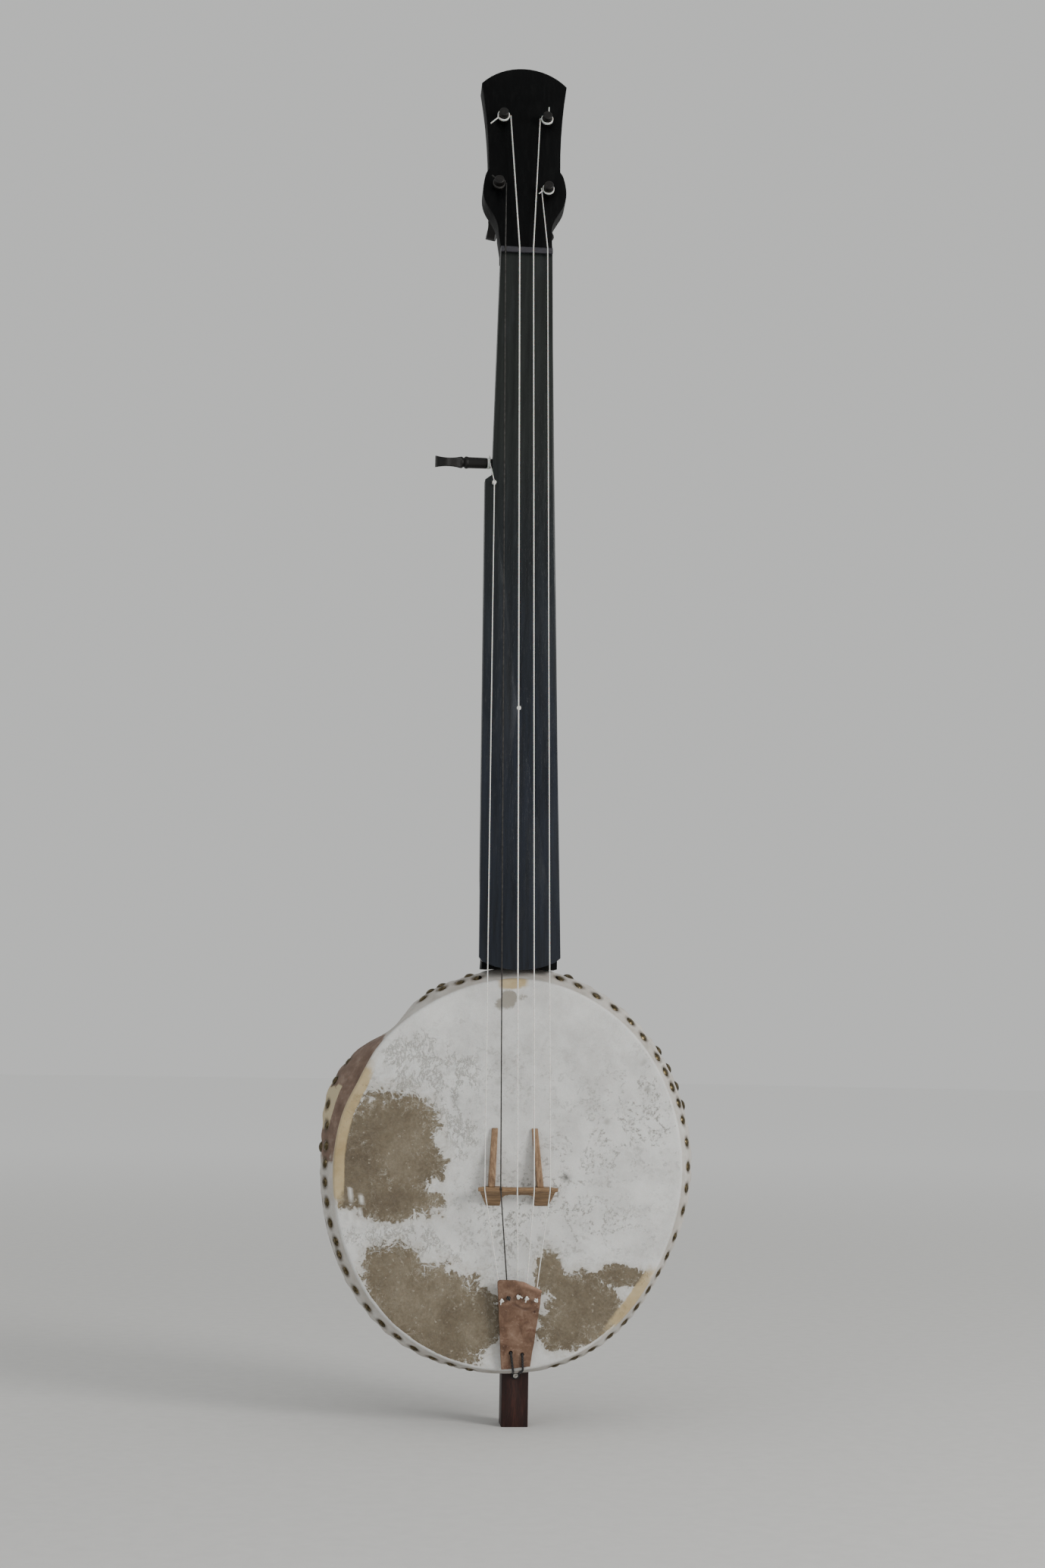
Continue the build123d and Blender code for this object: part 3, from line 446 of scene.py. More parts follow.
def paint_nylon():
    """Milky nylon string, with a little dust and a few scuffs."""
    p = Paint("nylon", Subsurface_Weight=0.15, Subsurface_Scale=0.001, Specular_IOR_Level=0.55)
    dust = p.noise(700, 5, 0.65)
    colour = p.ramp(dust, (0.3, (0.62, 0.61, 0.56)), (0.6, (0.80, 0.80, 0.77)))
    p.bump(p.noise(2600, 3, 0.5), 0.00001)
    p.give(Base_Color=colour, Roughness=p.step(dust, 0.3, 0.7, 0.2, 0.42))
    return p.material


def paint_wound():
    """Dark wound bass string: fine close turns along its length."""
    p = Paint("wound_string", Metallic=0.55)
    tarnish = p.noise(420, 6, 0.65)
    turns = p.waves(1300, "Z", 0.0)
    colour = p.ramp(tarnish, (0.3, (0.028, 0.026, 0.025)), (0.65, (0.108, 0.103, 0.098)))
    colour = p.blend(p.calc("MULTIPLY", turns, 0.4), colour, (0.016, 0.015, 0.014))
    p.bump(turns, 0.00008)
    p.give(Base_Color=colour, Roughness=p.step(tarnish, 0.3, 0.7, 0.5, 0.32))
    return p.material


def paint_cord():
    """Black waxed cord, two plies twisted together."""
    p = Paint("black_cord", Specular_IOR_Level=0.35, Sheen_Weight=0.1)
    twist = p.waves(420, "DIAGONAL", 1.2)
    fuzz = p.noise(1800, 4, 0.7)
    colour = p.ramp(fuzz, (0.3, (0.005, 0.005, 0.006)), (0.7, (0.022, 0.021, 0.022)))
    colour = p.blend(p.calc("MULTIPLY", twist, 0.5), colour, (0.03, 0.028, 0.028))
    relief = p.bump(twist, 0.00025)
    p.bump(fuzz, 0.00006, relief)
    p.give(Base_Color=colour, Roughness=p.step(fuzz, 0.3, 0.7, 0.5, 0.8))
    return p.material


def paint_steel():
    """Worn zinc-plated screw."""
    p = Paint("screw_steel", Metallic=1.0)
    wear = p.noise(800, 6, 0.66)
    colour = p.ramp(wear, (0.3, (0.24, 0.22, 0.19)), (0.6, (0.62, 0.61, 0.58)))
    p.bump(wear, 0.00003)
    p.give(Base_Color=colour, Roughness=p.step(wear, 0.3, 0.7, 0.5, 0.28))
    return p.material


def paint_bone(name, low, high):
    """Hard white inlay with a faint cloud in it."""
    p = Paint(name, Subsurface_Weight=0.08, Subsurface_Scale=0.001, Specular_IOR_Level=0.6)
    cloud = p.noise(500, 5, 0.6)
    p.bump(p.noise(1500, 4, 0.6), 0.00002)
    p.give(Base_Color=p.ramp(cloud, (0.3, low), (0.7, high)), Roughness=p.step(cloud, 0.3, 0.7, 0.24, 0.4))
    return p.material


def paint_floor():
    """Pale floor that reaches the colour of the surroundings far away."""
    p = Paint("floor", Roughness=0.9, Specular_IOR_Level=0.1)
    centre = p.nodes.new("ShaderNodeVectorMath")
    centre.operation = "LENGTH"
    p.put(centre.inputs[0], p.place)
    far = p.step(centre.outputs["Value"], 0.5, 4.0)
    near = p.ramp(p.noise(90, 5, 0.6), (0.3, (0.66, 0.655, 0.64)), (0.7, (0.70, 0.695, 0.68)))
    p.give(Base_Color=p.blend(far, near, (0.95, 0.95, 0.945)))
    return p.material


WOOD_BLACK = paint_black_wood()
WOOD_BOARD = paint_board()
PEG_TONES = ((0.002, 0.0017, 0.0016), (0.004, 0.0035, 0.0032), (0.011, 0.0085, 0.007))
WOOD_PEG = paint_wood("peg_wood", *PEG_TONES, "Y", 1.3, (0.4, 0.58), Specular_IOR_Level=0.3).material
WOOD_SIDE_PEG = paint_wood(
    "side_peg_wood", *PEG_TONES, "X", 1.3, (0.4, 0.58), Specular_IOR_Level=0.3
).material
WOOD_BRIDGE = paint_wood(
    "bridge_wood", (0.085, 0.045, 0.02), (0.21, 0.125, 0.06), (0.37, 0.24, 0.125), "X", 1.6, (0.42, 0.6)
).material
WOOD_FIN = paint_wood(
    "fin_wood", (0.11, 0.058, 0.028), (0.25, 0.15, 0.08), (0.42, 0.28, 0.165), "Z", 1.6, (0.42, 0.6)
).material
WOOD_DOWEL = paint_wood(
    "dowel_wood", (0.009, 0.0025, 0.002), (0.021, 0.0055, 0.004), (0.05, 0.015, 0.010),
    "Z", 0.9, (0.4, 0.6), Specular_IOR_Level=0.35,
).material
# painted reflection: the nut is black like the neck; its dark grey tones stand for the light that its top and
# bevel reflect
WOOD_NUT = paint_wood(
    "nut_wood", (0.016, 0.0155, 0.019), (0.032, 0.031, 0.038), (0.06, 0.058, 0.068),
    "X", 1.5, (0.36, 0.5), Specular_IOR_Level=0.35,
).material
SKIN = paint_skin()
GOURD = paint_gourd()
LEATHER = paint_tailpiece()
BRASS = paint_brass()
NYLON = paint_nylon()
WOUND = paint_wound()
CORD = paint_cord()
STEEL = paint_steel()
DOT_BONE = paint_bone("dot_bone", (0.66, 0.64, 0.58), (0.84, 0.83, 0.79))
PIP_BONE = paint_bone("pip_bone", (0.70, 0.68, 0.62), (0.86, 0.85, 0.81))


# ---- mesh helpers ----

WELD = 0.000002
SHARP_ANGLE = math.radians(32)
SMOOTH_ANGLE = math.radians(35)


def dress(obj, material):
    """Gives an object this one material."""
    obj.data.materials.clear()
    obj.data.materials.append(material)


def add_piece(name, mesh, material, body, slot, *replaced):
    """Links a finished mesh as a piece that rides on a body and stands for CAD nodes."""
    piece = bpy.data.objects.new(name, mesh)
    bpy.context.scene.collection.objects.link(piece)
    for polygon in mesh.polygons:
        polygon.use_smooth = True
    dress(piece, material)
    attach(piece, body)
    if replaced:
        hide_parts(*replaced)
    return piece


def baked(name, mesh, *modifiers):
    """The mesh after these modifiers, each given as (kind, settings)."""
    holder = bpy.data.objects.new(name, mesh)
    bpy.context.scene.collection.objects.link(holder)
    for kind, settings in modifiers:
        modifier = holder.modifiers.new(kind, kind)
        for key, value in settings.items():
            setattr(modifier, key, value)
    bpy.context.view_layer.update()
    result = bpy.data.meshes.new_from_object(holder.evaluated_get(bpy.context.evaluated_depsgraph_get()))
    bpy.data.objects.remove(holder)
    result.name = name
    return result


def softened(name, node, voxel, rounds):
    """The CAD node's mesh with its edges eased, as wood is after sanding."""
    return baked(
        name,
        NODES[node].data.copy(),
        ("REMESH", {"mode": "VOXEL", "voxel_size": voxel}),
        ("SMOOTH", {"factor": 0.5, "iterations": rounds}),
    )


def bevelled(name, node, width):
    """The CAD node's mesh, welded, with its sharp edges bevelled."""
    mesh = NODES[node].data.copy()
    mesh.name = name
    work = bmesh.new()
    work.from_mesh(mesh)
    bmesh.ops.remove_doubles(work, verts=work.verts, dist=WELD)
    bmesh.ops.dissolve_limit(work, angle_limit=math.radians(0.6), verts=work.verts, edges=work.edges)
    sharp = [e for e in work.edges if len(e.link_faces) == 2 and e.calc_face_angle() > SHARP_ANGLE]
    bmesh.ops.bevel(
        work, geom=sharp, offset=width, segments=2, profile=0.5, affect="EDGES", clamp_overlap=True
    )
    for edge in work.edges:
        edge.smooth = len(edge.link_faces) != 2 or edge.calc_face_angle(0) < SMOOTH_ANGLE
    bmesh.ops.triangulate(work, faces=[f for f in work.faces if len(f.verts) > 4])
    work.to_mesh(mesh)
    work.free()
    return mesh


def grid_mesh(name, rows, closed_end=None):
    """Quads between rows of points, each row a closed ring; closed_end caps the last ring."""
    count = len(rows[0])
    verts = [tuple(point) for row in rows for point in row]
    faces = []
    for r in range(len(rows) - 1):
        for i in range(count):
            j = (i + 1) % count
            a, b = r * count, (r + 1) * count
            faces.append((a + i, b + i, b + j, a + j))
    if closed_end is not None:
        verts.append(tuple(closed_end))
        last = (len(rows) - 1) * count
        faces += [(last + i, len(verts) - 1, last + (i + 1) % count) for i in range(count)]
    mesh = bpy.data.meshes.new(name)
    mesh.from_pydata(verts, [], faces)
    mesh.update()
    return mesh


def tube(path, radius, sides=10):
    """Rings of points round a path, turned as little as possible from one to the next."""
    points = [Vector(p) for p in path]
    rings = []
    side = None
    for i, point in enumerate(points):
        ahead = (points[min(i + 1, len(points) - 1)] - points[max(i - 1, 0)]).normalized()
        if side is None:
            side = ahead.orthogonal().normalized()
        side = (side - ahead * side.dot(ahead)).normalized()
        across = ahead.cross(side)
        turns = [2 * math.pi * k / sides for k in range(sides)]
        rings.append([point + (side * math.cos(t) + across * math.sin(t)) * radius for t in turns])
    return rings


def tube_into(work, path, radius, sides=10):
    """Adds a closed round tube along the path to a bmesh."""
    rings = [[work.verts.new(point) for point in ring] for ring in tube(path, radius, sides)]
    for low, high in zip(rings, rings[1:]):
        for k in range(sides):
            n = (k + 1) % sides
            work.faces.new((low[k], low[n], high[n], high[k]))
    work.faces.new(list(reversed(rings[0])))
    work.faces.new(rings[-1])


def finish_bmesh(work, name):
    """A mesh from a bmesh, with its faces turned outwards."""
    bmesh.ops.recalc_face_normals(work, faces=work.faces)
    mesh = bpy.data.meshes.new(name)
    work.to_mesh(mesh)
    work.free()
    return mesh


def set_attribute(mesh, name, values):
    """Writes one number per vertex, for a material to read."""
    attribute = mesh.attributes.new(name, "FLOAT", "POINT")
    attribute.data.foreach_set("value", np.asarray(values, np.float32))


def islands(node):
    """The separate shells of a node, as arrays of points, in the same order in every run."""
    work = bmesh.new()
    work.from_mesh(NODES[node].data)
    bmesh.ops.remove_doubles(work, verts=work.verts, dist=WELD)
    left = set(work.verts)
    shells = []
    while left:
        stack = [left.pop()]
        shell = []
        while stack:
            vert = stack.pop()
            shell.append(tuple(vert.co))
            for edge in vert.link_edges:
                other = edge.other_vert(vert)
                if other in left:
                    left.remove(other)
                    stack.append(other)
        shells.append(np.array(sorted(shell)))
    work.free()
    return sorted(shells, key=lambda shell: tuple(shell[0]))


def tree_of(node):
    """A ray-casting tree of a CAD node."""
    mesh = NODES[node].data
    return BVHTree.FromPolygons([v.co for v in mesh.vertices], [p.vertices for p in mesh.polygons])


def fade(value, low, high):
    """0 below low, 1 above high, smooth in between; high may be below low."""
    t = min(1.0, max(0.0, (value - low) / (high - low)))
    return t * t * (3 - 2 * t)


def near_angle(angle, centre, width):
    """1 at the centre angle, falling off to either side, in degrees."""
    away = (angle - centre + 180) % 360 - 180
    return math.exp(-((away / width) ** 2))


# ---- the gourd's surface, read from the frame ----

GOURD_LOW, GOURD_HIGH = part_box("gourd_bowl")
AXIS_X = (GOURD_LOW[0] + GOURD_HIGH[0]) / 2
AXIS_Z = (GOURD_LOW[2] + GOURD_HIGH[2]) / 2
FACE_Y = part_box("head_skin")[0][1]
RIM_Y = GOURD_LOW[1]
BELLY_Y = RIM_Y + 30 * MM  # the depth at which the gourd is widest
SKIN_TREE = tree_of("head_skin")
GOURD_TREE = tree_of("gourd_bowl")
FAR = 0.3  # where rays towards the axis start, well outside the gourd


def outward(angle):
    """The direction away from the gourd's axis at this angle, counted from +X towards +Z."""
    return Vector((math.cos(math.radians(angle)), 0, math.sin(math.radians(angle))))


def ray_reach(tree, centre, way):
    """Distance from the centre to the outside of a node along this way, 0 where there is a hole."""
    hit = tree.ray_cast(centre + way * FAR, -way)[0]
    return (hit - centre).length if hit else 0.0


def reaches(tree, ways, centres):
    """ray_reach for a closed ring of rays, with the holes for the stick bridged over."""
    found = np.array([ray_reach(tree, centre, way) for centre, way in zip(centres, ways)])
    good = np.flatnonzero(found > 0.85 * np.median(found))
    return np.interp(np.arange(len(found)), good, found[good], period=len(found))


def ring_radii(tree, angles, depths):
    """Outer radius at each angle, at the depth given for that angle."""
    centres = [Vector((AXIS_X, y, AXIS_Z)) for y in depths]
    return reaches(tree, [outward(angle) for angle in angles], centres)


def tack_seats():
    """Crown point and outward direction of every tack, read from the CAD tacks."""
    seats = []
    for node in ("rim_tacks", "extra_tacks"):
        for shell in islands(node):
            centre = shell.mean(axis=0)
            spread = np.linalg.svd(shell - centre)[2]
            radial = Vector((centre[0] - AXIS_X, 0, centre[2] - AXIS_Z)).normalized()
            direction = max((Vector(a) for a in spread), key=lambda a: abs(a.dot(radial)))
            if direction.dot(radial) < 0:
                direction = -direction
            reach = (shell - centre) @ np.array(direction)
            crown = Vector(shell[reach.argmax()])
            seats.append((node, crown, direction))
    return seats


SEATS = tack_seats()
TACK_RISE = 1.9 * MM


def seat_angle(seat):
    """The angle of a tack round the gourd's axis, in degrees."""
    return math.degrees(math.atan2(seat[1].z - AXIS_Z, seat[1].x - AXIS_X))


# ---- skin head ----

SKIN_ANGLES = 420
EDGE_ROUND = 1.5 * MM
SKIN_THICK = 0.7 * MM
# the worn, thin places: (x, z, half width, half height) in millimetres
THIN_PATCHES = [
    (-90, 196, 32, 26), (-78, 178, 26, 24), (-111, 172, 20, 26), (-86, 150, 30, 14), (-62, 76, 40, 32),
    (-84, 100, 20, 22), (-30, 70, 20, 22), (-46, 56, 26, 14), (44, 80, 26, 22), (30, 66, 16, 14),
    (20, 103, 9, 15), (33, 92, 14, 9), (70, 101, 18, 7),
]
SCRATCHES = [
    ((-114, 157), (-113, 136)), ((-113, 136), (-117, 132)),
    ((-106, 153), (-107, 139)), ((-107, 139), (-108, 128)),
]


def thin_value(x, z):
    """Above 0 inside a thin patch, below 0 outside; x and z in millimetres."""
    return max(1 - math.hypot((x - cx) / rx, (z - cz) / rz) ** 1.6 for cx, cz, rx, rz in THIN_PATCHES)


def hem_depths():
    """The y of the skirt's edge in SKIN_ANGLES directions, read from the CAD skin."""
    points = np.array([tuple(v.co) for v in NODES["head_skin"].data.vertices])
    angles = np.degrees(np.arctan2(points[:, 2] - AXIS_Z, points[:, 0] - AXIS_X)) % 360
    deep = np.full(120, RIM_Y)
    for angle, y in zip(angles, points[:, 1]):
        index = int(angle / 3) % 120
        deep[index] = max(deep[index], y)
    for _ in range(3):
        deep = (np.roll(deep, 1) + 2 * deep + np.roll(deep, -1)) / 4
    spots = np.arange(SKIN_ANGLES) * 360 / SKIN_ANGLES
    return np.interp(spots, np.arange(121) * 3 + 1.5, np.append(deep, deep[0]), period=360)


def pucker(angle, y):
    """How far the skirt stands off between its tacks."""
    gap = min(abs((angle - seat_angle(s) + 180) % 360 - 180) + abs(y - s[1].y) * 60 for s in SEATS)
    return fade(gap, 1.0, 3.4)


SKIN_MARKS = (
    "butter", "side", "shaded_mauve", "cream", "stain_and_shade", "thin", "scratch", "veined", "crackled", "spot", "top_stain"
)


def blot(x, z, cx, cz, rx, rz):
    """1 in the middle of an oval, 0 well outside."""
    return math.exp(-(((x - cx) / rx) ** 2 + ((z - cz) / rz) ** 2))


def skin_marks(point, edge, down, angle):
    """What each kind of mark amounts to here; edge is the way in from the rim, down the skirt."""
    x, z = point.x / MM, point.z / MM
    # on_side also sets where paint_skin darkens the skirt with dirt and painted shade
    on_side = fade(down, 0.5 * MM, 2 * MM)
    on_face = 1 - fade(down, 0.0, 0.4 * MM)
    band = fade(edge, 6.2 * MM, 3.8 * MM) * fade(down, 2.5 * MM, 1 * MM)
    yellowed = 1.2 * near_angle(angle, 160, 17) + near_angle(angle, 180, 12)
    yellowed = yellowed + near_angle(angle, -46, 13) + near_angle(angle, 90, 5)
    butter = band * min(1.0, yellowed)
    # purplish brown skin darkened with painted shade on the left of the skirt
    shaded_mauve = on_side * min(1.0, near_angle(angle, 145, 13) + near_angle(angle, 168, 13))
    cream = fade(down, 8 * MM, 11 * MM) * near_angle(angle, 162, 7)
    # close to a tack head the skirt gets a ring of painted shade
    close = min((point - seat[1]).length for seat in SEATS) if down else 1.0
    thin = thin_value(x, z) if on_face > 0.5 else -1.2 + 0.5 * on_side
    scratch = 0.85 * fade(min(segment_gap(x, z, a, b) for a, b in SCRATCHES), 1.1, 0.4) * on_face
    across = (x - 25) * 0.64 - (z - 165) * 0.77
    veined = 0.9 * math.exp(-((across / 34) ** 2)) * fade(x, -60, 0) + 0.55 * blot(x, z, -20, 235, 60, 28)
    veined += (
        0.9 * blot(x, z, 55, 132, 45, 18)
        + 0.5 * blot(x, z, -40, 150, 30, 35)
        + 0.5 * blot(x, z, 92, 200, 16, 30)
    )
    crackled = (
        blot(x, z, -72, 240, 36, 24)
        + 0.9 * blot(x, z, -46, 205, 20, 34)
        + 0.9 * blot(x, z, -80, 122, 44, 14)
    )
    spot = (
        blot(x, z, 31, 166, 2.9, 3.1)
        + 0.6 * blot(x, z, -44, 217, 3.5, 4)
        + 0.5 * blot(x, z, 86, 147, 3, 2)
    )
    top_stain = (
        0.95 * blot(x, z, -10, 285, 6, 8)
        + 0.6 * blot(x, z, 1, 287, 5, 4)
        + 0.5 * blot(x, z, -17, 281, 4, 4)
    )
    return (
        butter, on_side, shaded_mauve, cream, fade(close, 6.2 * MM, 3.8 * MM), thin, scratch,
        min(1.0, veined) * on_face, min(1.0, crackled) * on_face, min(1.0, spot), top_stain * on_face,
    )


def make_skin():
    """Face, rounded rim and skirt as one sheet, given its thickness at the end."""
    hems = hem_depths()
    face_steps = [0.02, 0.08] + [0.14 + 0.86 * i / 44 for i in range(45)]
    rows, facts = [], []
    angles = [360 * i / SKIN_ANGLES for i in range(SKIN_ANGLES)]
    rims = ring_radii(SKIN_TREE, angles, [FACE_Y + EDGE_ROUND] * SKIN_ANGLES)
    for step in face_steps:
        row, fact = [], []
        for angle, rim in zip(angles, rims):
            radius = (rim - EDGE_ROUND) * step
            point = Vector((AXIS_X, FACE_Y, AXIS_Z)) + outward(angle) * radius
            wave = noise.noise(point * 45) * 0.12 + noise.noise(point * 16 + Vector((3, 1, 2))) * 0.14
            point.y += (0.2 + wave) * MM * fade(step, 1.0, 0.97)
            row.append(point)
            fact.append(((rim - EDGE_ROUND) * (1 - step), 0.0, angle))
        rows.append(row)
        facts.append(fact)
    for turn in (22, 45, 68, 90):
        row, fact = [], []
        for angle, rim in zip(angles, rims):
            lift = math.radians(turn)
            radius = rim - EDGE_ROUND * (1 - math.sin(lift))
            y = FACE_Y + EDGE_ROUND * (1 - math.cos(lift))
            row.append(Vector((AXIS_X, y, AXIS_Z)) + outward(angle) * radius)
            fact.append((0.0, EDGE_ROUND * turn / 90, angle))
        rows.append(row)
        facts.append(fact)
    skirt_steps = 18
    ragged = [noise.noise(Vector((angle * 0.22, 0, 0))) * 0.7 * MM for angle in angles]
    for k in range(1, skirt_steps + 1):
        row, fact = [], []
        depths = [
            FACE_Y + EDGE_ROUND + (hem - 0.3 * MM - FACE_Y - EDGE_ROUND) * k / skirt_steps
            for hem in hems
        ]
        limits = [min(y, hem - 0.6 * MM) for y, hem in zip(depths, hems)]
        radii = ring_radii(SKIN_TREE, angles, limits)
        for i, angle in enumerate(angles):
            y = depths[i] + ragged[i] * k / skirt_steps
            swell = pucker(angle, y) * (0.15 + 0.55 * k / skirt_steps) * MM
            swell += noise.noise(Vector((angle * 0.5, y * 200, 4))) * 0.12 * MM
            row.append(Vector((AXIS_X, y, AXIS_Z)) + outward(angle) * (radii[i] + swell))
            fact.append((0.0, y - FACE_Y, angle))
        rows.append(row)
        facts.append(fact)
    sheet = grid_mesh("skin_sheet", rows[::-1], rows[0][0].lerp(rows[0][SKIN_ANGLES // 2], 0.5))
    marks = {name: [] for name in SKIN_MARKS}
    for row, fact in zip(rows[::-1], facts[::-1]):
        for point, (edge, down, angle) in zip(row, fact):
            for name, value in zip(SKIN_MARKS, skin_marks(point, edge, down, angle)):
                marks[name].append(value)
    for name, values in marks.items():
        set_attribute(sheet, name, values + [values[-1]])
    mesh = baked("skin_head", sheet, ("SOLIDIFY", {"thickness": SKIN_THICK, "offset": -1.0}))
    return add_piece("skin_head", mesh, SKIN, "banjo", "goatskin", "head_skin")


def segment_gap(x, z, a, b):
    """Distance from (x, z) to the segment from a to b."""
    dx, dz = b[0] - a[0], b[1] - a[1]
    t = min(1.0, max(0.0, ((x - a[0]) * dx + (z - a[1]) * dz) / (dx * dx + dz * dz)))
    return math.hypot(x - a[0] - t * dx, z - a[1] - t * dz)


make_skin()


# ---- gourd ----

GOURD_ANGLES = 300
RIND_THICK = 5.4 * MM
SCAR_PLACE = (6 * MM, -9 * MM)


def make_gourd():
    """Outer rind with the low swells of a grown gourd and a blossom scar at the back."""
    angles = [360 * i / GOURD_ANGLES for i in range(GOURD_ANGLES)]
    rows, scars = [], []
    for k in range(13):
        y = RIM_Y + 0.3 * MM + (BELLY_Y - RIM_Y) * k / 12
        radii = ring_radii(GOURD_TREE, angles, [y] * GOURD_ANGLES)
        rows.append([Vector((AXIS_X, y, AXIS_Z)) + outward(a) * r for a, r in zip(angles, radii)])
    centre = Vector((AXIS_X, BELLY_Y, AXIS_Z))
    for k in range(1, 61):
        latitude = math.radians(90 * k / 61)
        ways = [outward(a) * math.cos(latitude) + Vector((0, math.sin(latitude), 0)) for a in angles]
        radii = reaches(GOURD_TREE, ways, [centre] * GOURD_ANGLES)
        rows.append([centre + way * r for way, r in zip(ways, radii)])
    pole = Vector((0, 1, 0))
    last = centre + pole * ray_reach(GOURD_TREE, centre, pole)
    mesh = grid_mesh("gourd_sheet", rows, last)
    for vertex in mesh.vertices:
        point = vertex.co
        normal = (point - Vector((AXIS_X, max(RIM_Y, min(point.y, BELLY_Y)), AXIS_Z))).normalized()
        clear = fade(point.y, RIM_Y + 22 * MM, RIM_Y + 50 * MM)
        swell = noise.noise(point * 18) * 1.0 + noise.noise(point * 55 + Vector((5, 2, 8))) * 0.35
        off = math.hypot(point.x - AXIS_X - SCAR_PLACE[0], point.z - AXIS_Z - SCAR_PLACE[1]) / MM
        behind = fade(point.y, BELLY_Y, BELLY_Y + 40 * MM)
        turn = math.atan2(point.z - AXIS_Z - SCAR_PLACE[1], point.x - AXIS_X - SCAR_PLACE[0])
        dip = 2.2 * math.exp(-((off / 9) ** 2)) - 1.1 * math.exp(-((off / 2.6) ** 2))
        pleat = 0.35 * math.cos(9 * turn) * math.exp(-(((off - 11) / 6) ** 2))
        vertex.co = point + normal * ((swell - 0.9) * 0.8 * clear - (dip + pleat) * behind) * MM
        scars.append(math.exp(-((off / 4.5) ** 2)) * behind)
    set_attribute(mesh, "scar", scars)
    shell = baked("gourd_rind", mesh, ("SOLIDIFY", {"thickness": RIND_THICK, "offset": -1.0}))
    add_piece("gourd_rind", shell, GOURD, "banjo", "gourd", "gourd_bowl")


make_gourd()


# ---- tack heads ----

TACK_RADIUS = 3.9 * MM
# the dome from crown to lip: (share of the radius, share of the rise)
TACK_PROFILE = [
    (0.12, 1.0), (0.34, 0.95), (0.56, 0.8), (0.76, 0.56), (0.9, 0.3), (0.99, 0.1), (1.0, 0.0), (0.93, -0.06),
]
TACK_SIDES = 22
TACK_SINK = 0.12 * MM  # keeps the tilted heads inside the CAD tacks


def make_tacks(node, name):
    """Hammered domes with a thin rolled lip, each a little tilted and dented."""
    verts, faces, crowns = [], [], []
    for which, crown, direction in SEATS:
        if which != node:
            continue
        tip = direction + Vector((random.uniform(-1, 1), random.uniform(-1, 1), random.uniform(-1, 1))) * 0.05
        tip.normalize()
        side = tip.orthogonal().normalized()
        across = tip.cross(side)
        size = TACK_RADIUS * random.uniform(0.97, 1.02)
        base = crown - direction * (TACK_RISE + TACK_SINK)
        first = len(verts)
        verts.append(tuple(base + tip * TACK_RISE * 1.01))
        crowns.append(1.0)
        for radius, height in TACK_PROFILE:
            for k in range(TACK_SIDES):
                turn = 2 * math.pi * k / TACK_SIDES
                point = base + (side * math.cos(turn) + across * math.sin(turn)) * radius * size
                dent = 1 - 0.1 * max(0.0, noise.noise(point * 420))
                point += tip * TACK_RISE * height * dent
                verts.append(tuple(point))
                crowns.append(fade(height, 0.1, 0.6))
        faces += [(first, first + 1 + k, first + 1 + (k + 1) % TACK_SIDES) for k in range(TACK_SIDES)]
        for r in range(len(TACK_PROFILE) - 1):
            a = first + 1 + r * TACK_SIDES
            b = a + TACK_SIDES
            for k in range(TACK_SIDES):
                n = (k + 1) % TACK_SIDES
                faces.append((a + k, b + k, b + n, a + n))
        last = first + 1 + (len(TACK_PROFILE) - 1) * TACK_SIDES
        faces.append(tuple(last + k for k in range(TACK_SIDES)))
    mesh = bpy.data.meshes.new(name)
    mesh.from_pydata(verts, [], faces)
    work = bmesh.new()
    work.from_mesh(mesh)
    bmesh.ops.recalc_face_normals(work, faces=work.faces)
    work.to_mesh(mesh)
    work.free()
    set_attribute(mesh, "crown", crowns)
    add_piece(name, mesh, BRASS, "banjo", "tack_brass", node)


make_tacks("rim_tacks", "tack_heads")
make_tacks("extra_tacks", "extra_tack_heads")


# ---- wooden pieces ----

# (piece, CAD node, bevel in millimetres, material, slot)
BEVELLED_PIECES = [
    ("neck_wood", "neck", 0.7, WOOD_BLACK, "black_wood"),
    ("board_wood", "fingerboard", 0.35, WOOD_BOARD, "board"),
    ("dowel_wood", "dowel_stick", 0.3, WOOD_DOWEL, "dowel_wood"),
]
# (piece, CAD node, voxel in millimetres, smoothing rounds, material, slot)
SOFTENED_PIECES = [
    ("nut_wood", "nut", 0.22, 4, WOOD_NUT, "nut_grey"),
    ("bridge_wood", "bridge", 0.28, 5, WOOD_BRIDGE, "bridge_wood"),
    ("fin_wood", "bridge_fins", 0.28, 6, WOOD_FIN, "bridge_wood"),
]
for name, node, width, material, slot in BEVELLED_PIECES:
    add_piece(name, bevelled(name, node, width * MM), material, "banjo", slot, node)
for name, node, voxel, rounds, material, slot in SOFTENED_PIECES:
    add_piece(name, softened(name, node, voxel * MM, rounds), material, "banjo", slot, node)
for i in range(1, 6):
    wood = WOOD_SIDE_PEG if i == 5 else WOOD_PEG
    mesh = softened(f"peg_wood_{i}", f"tuning_peg_{i}", 0.36 * MM, 7)
    add_piece(f"peg_wood_{i}", mesh, wood, f"peg_{i}", "peg_wood", f"tuning_peg_{i}")


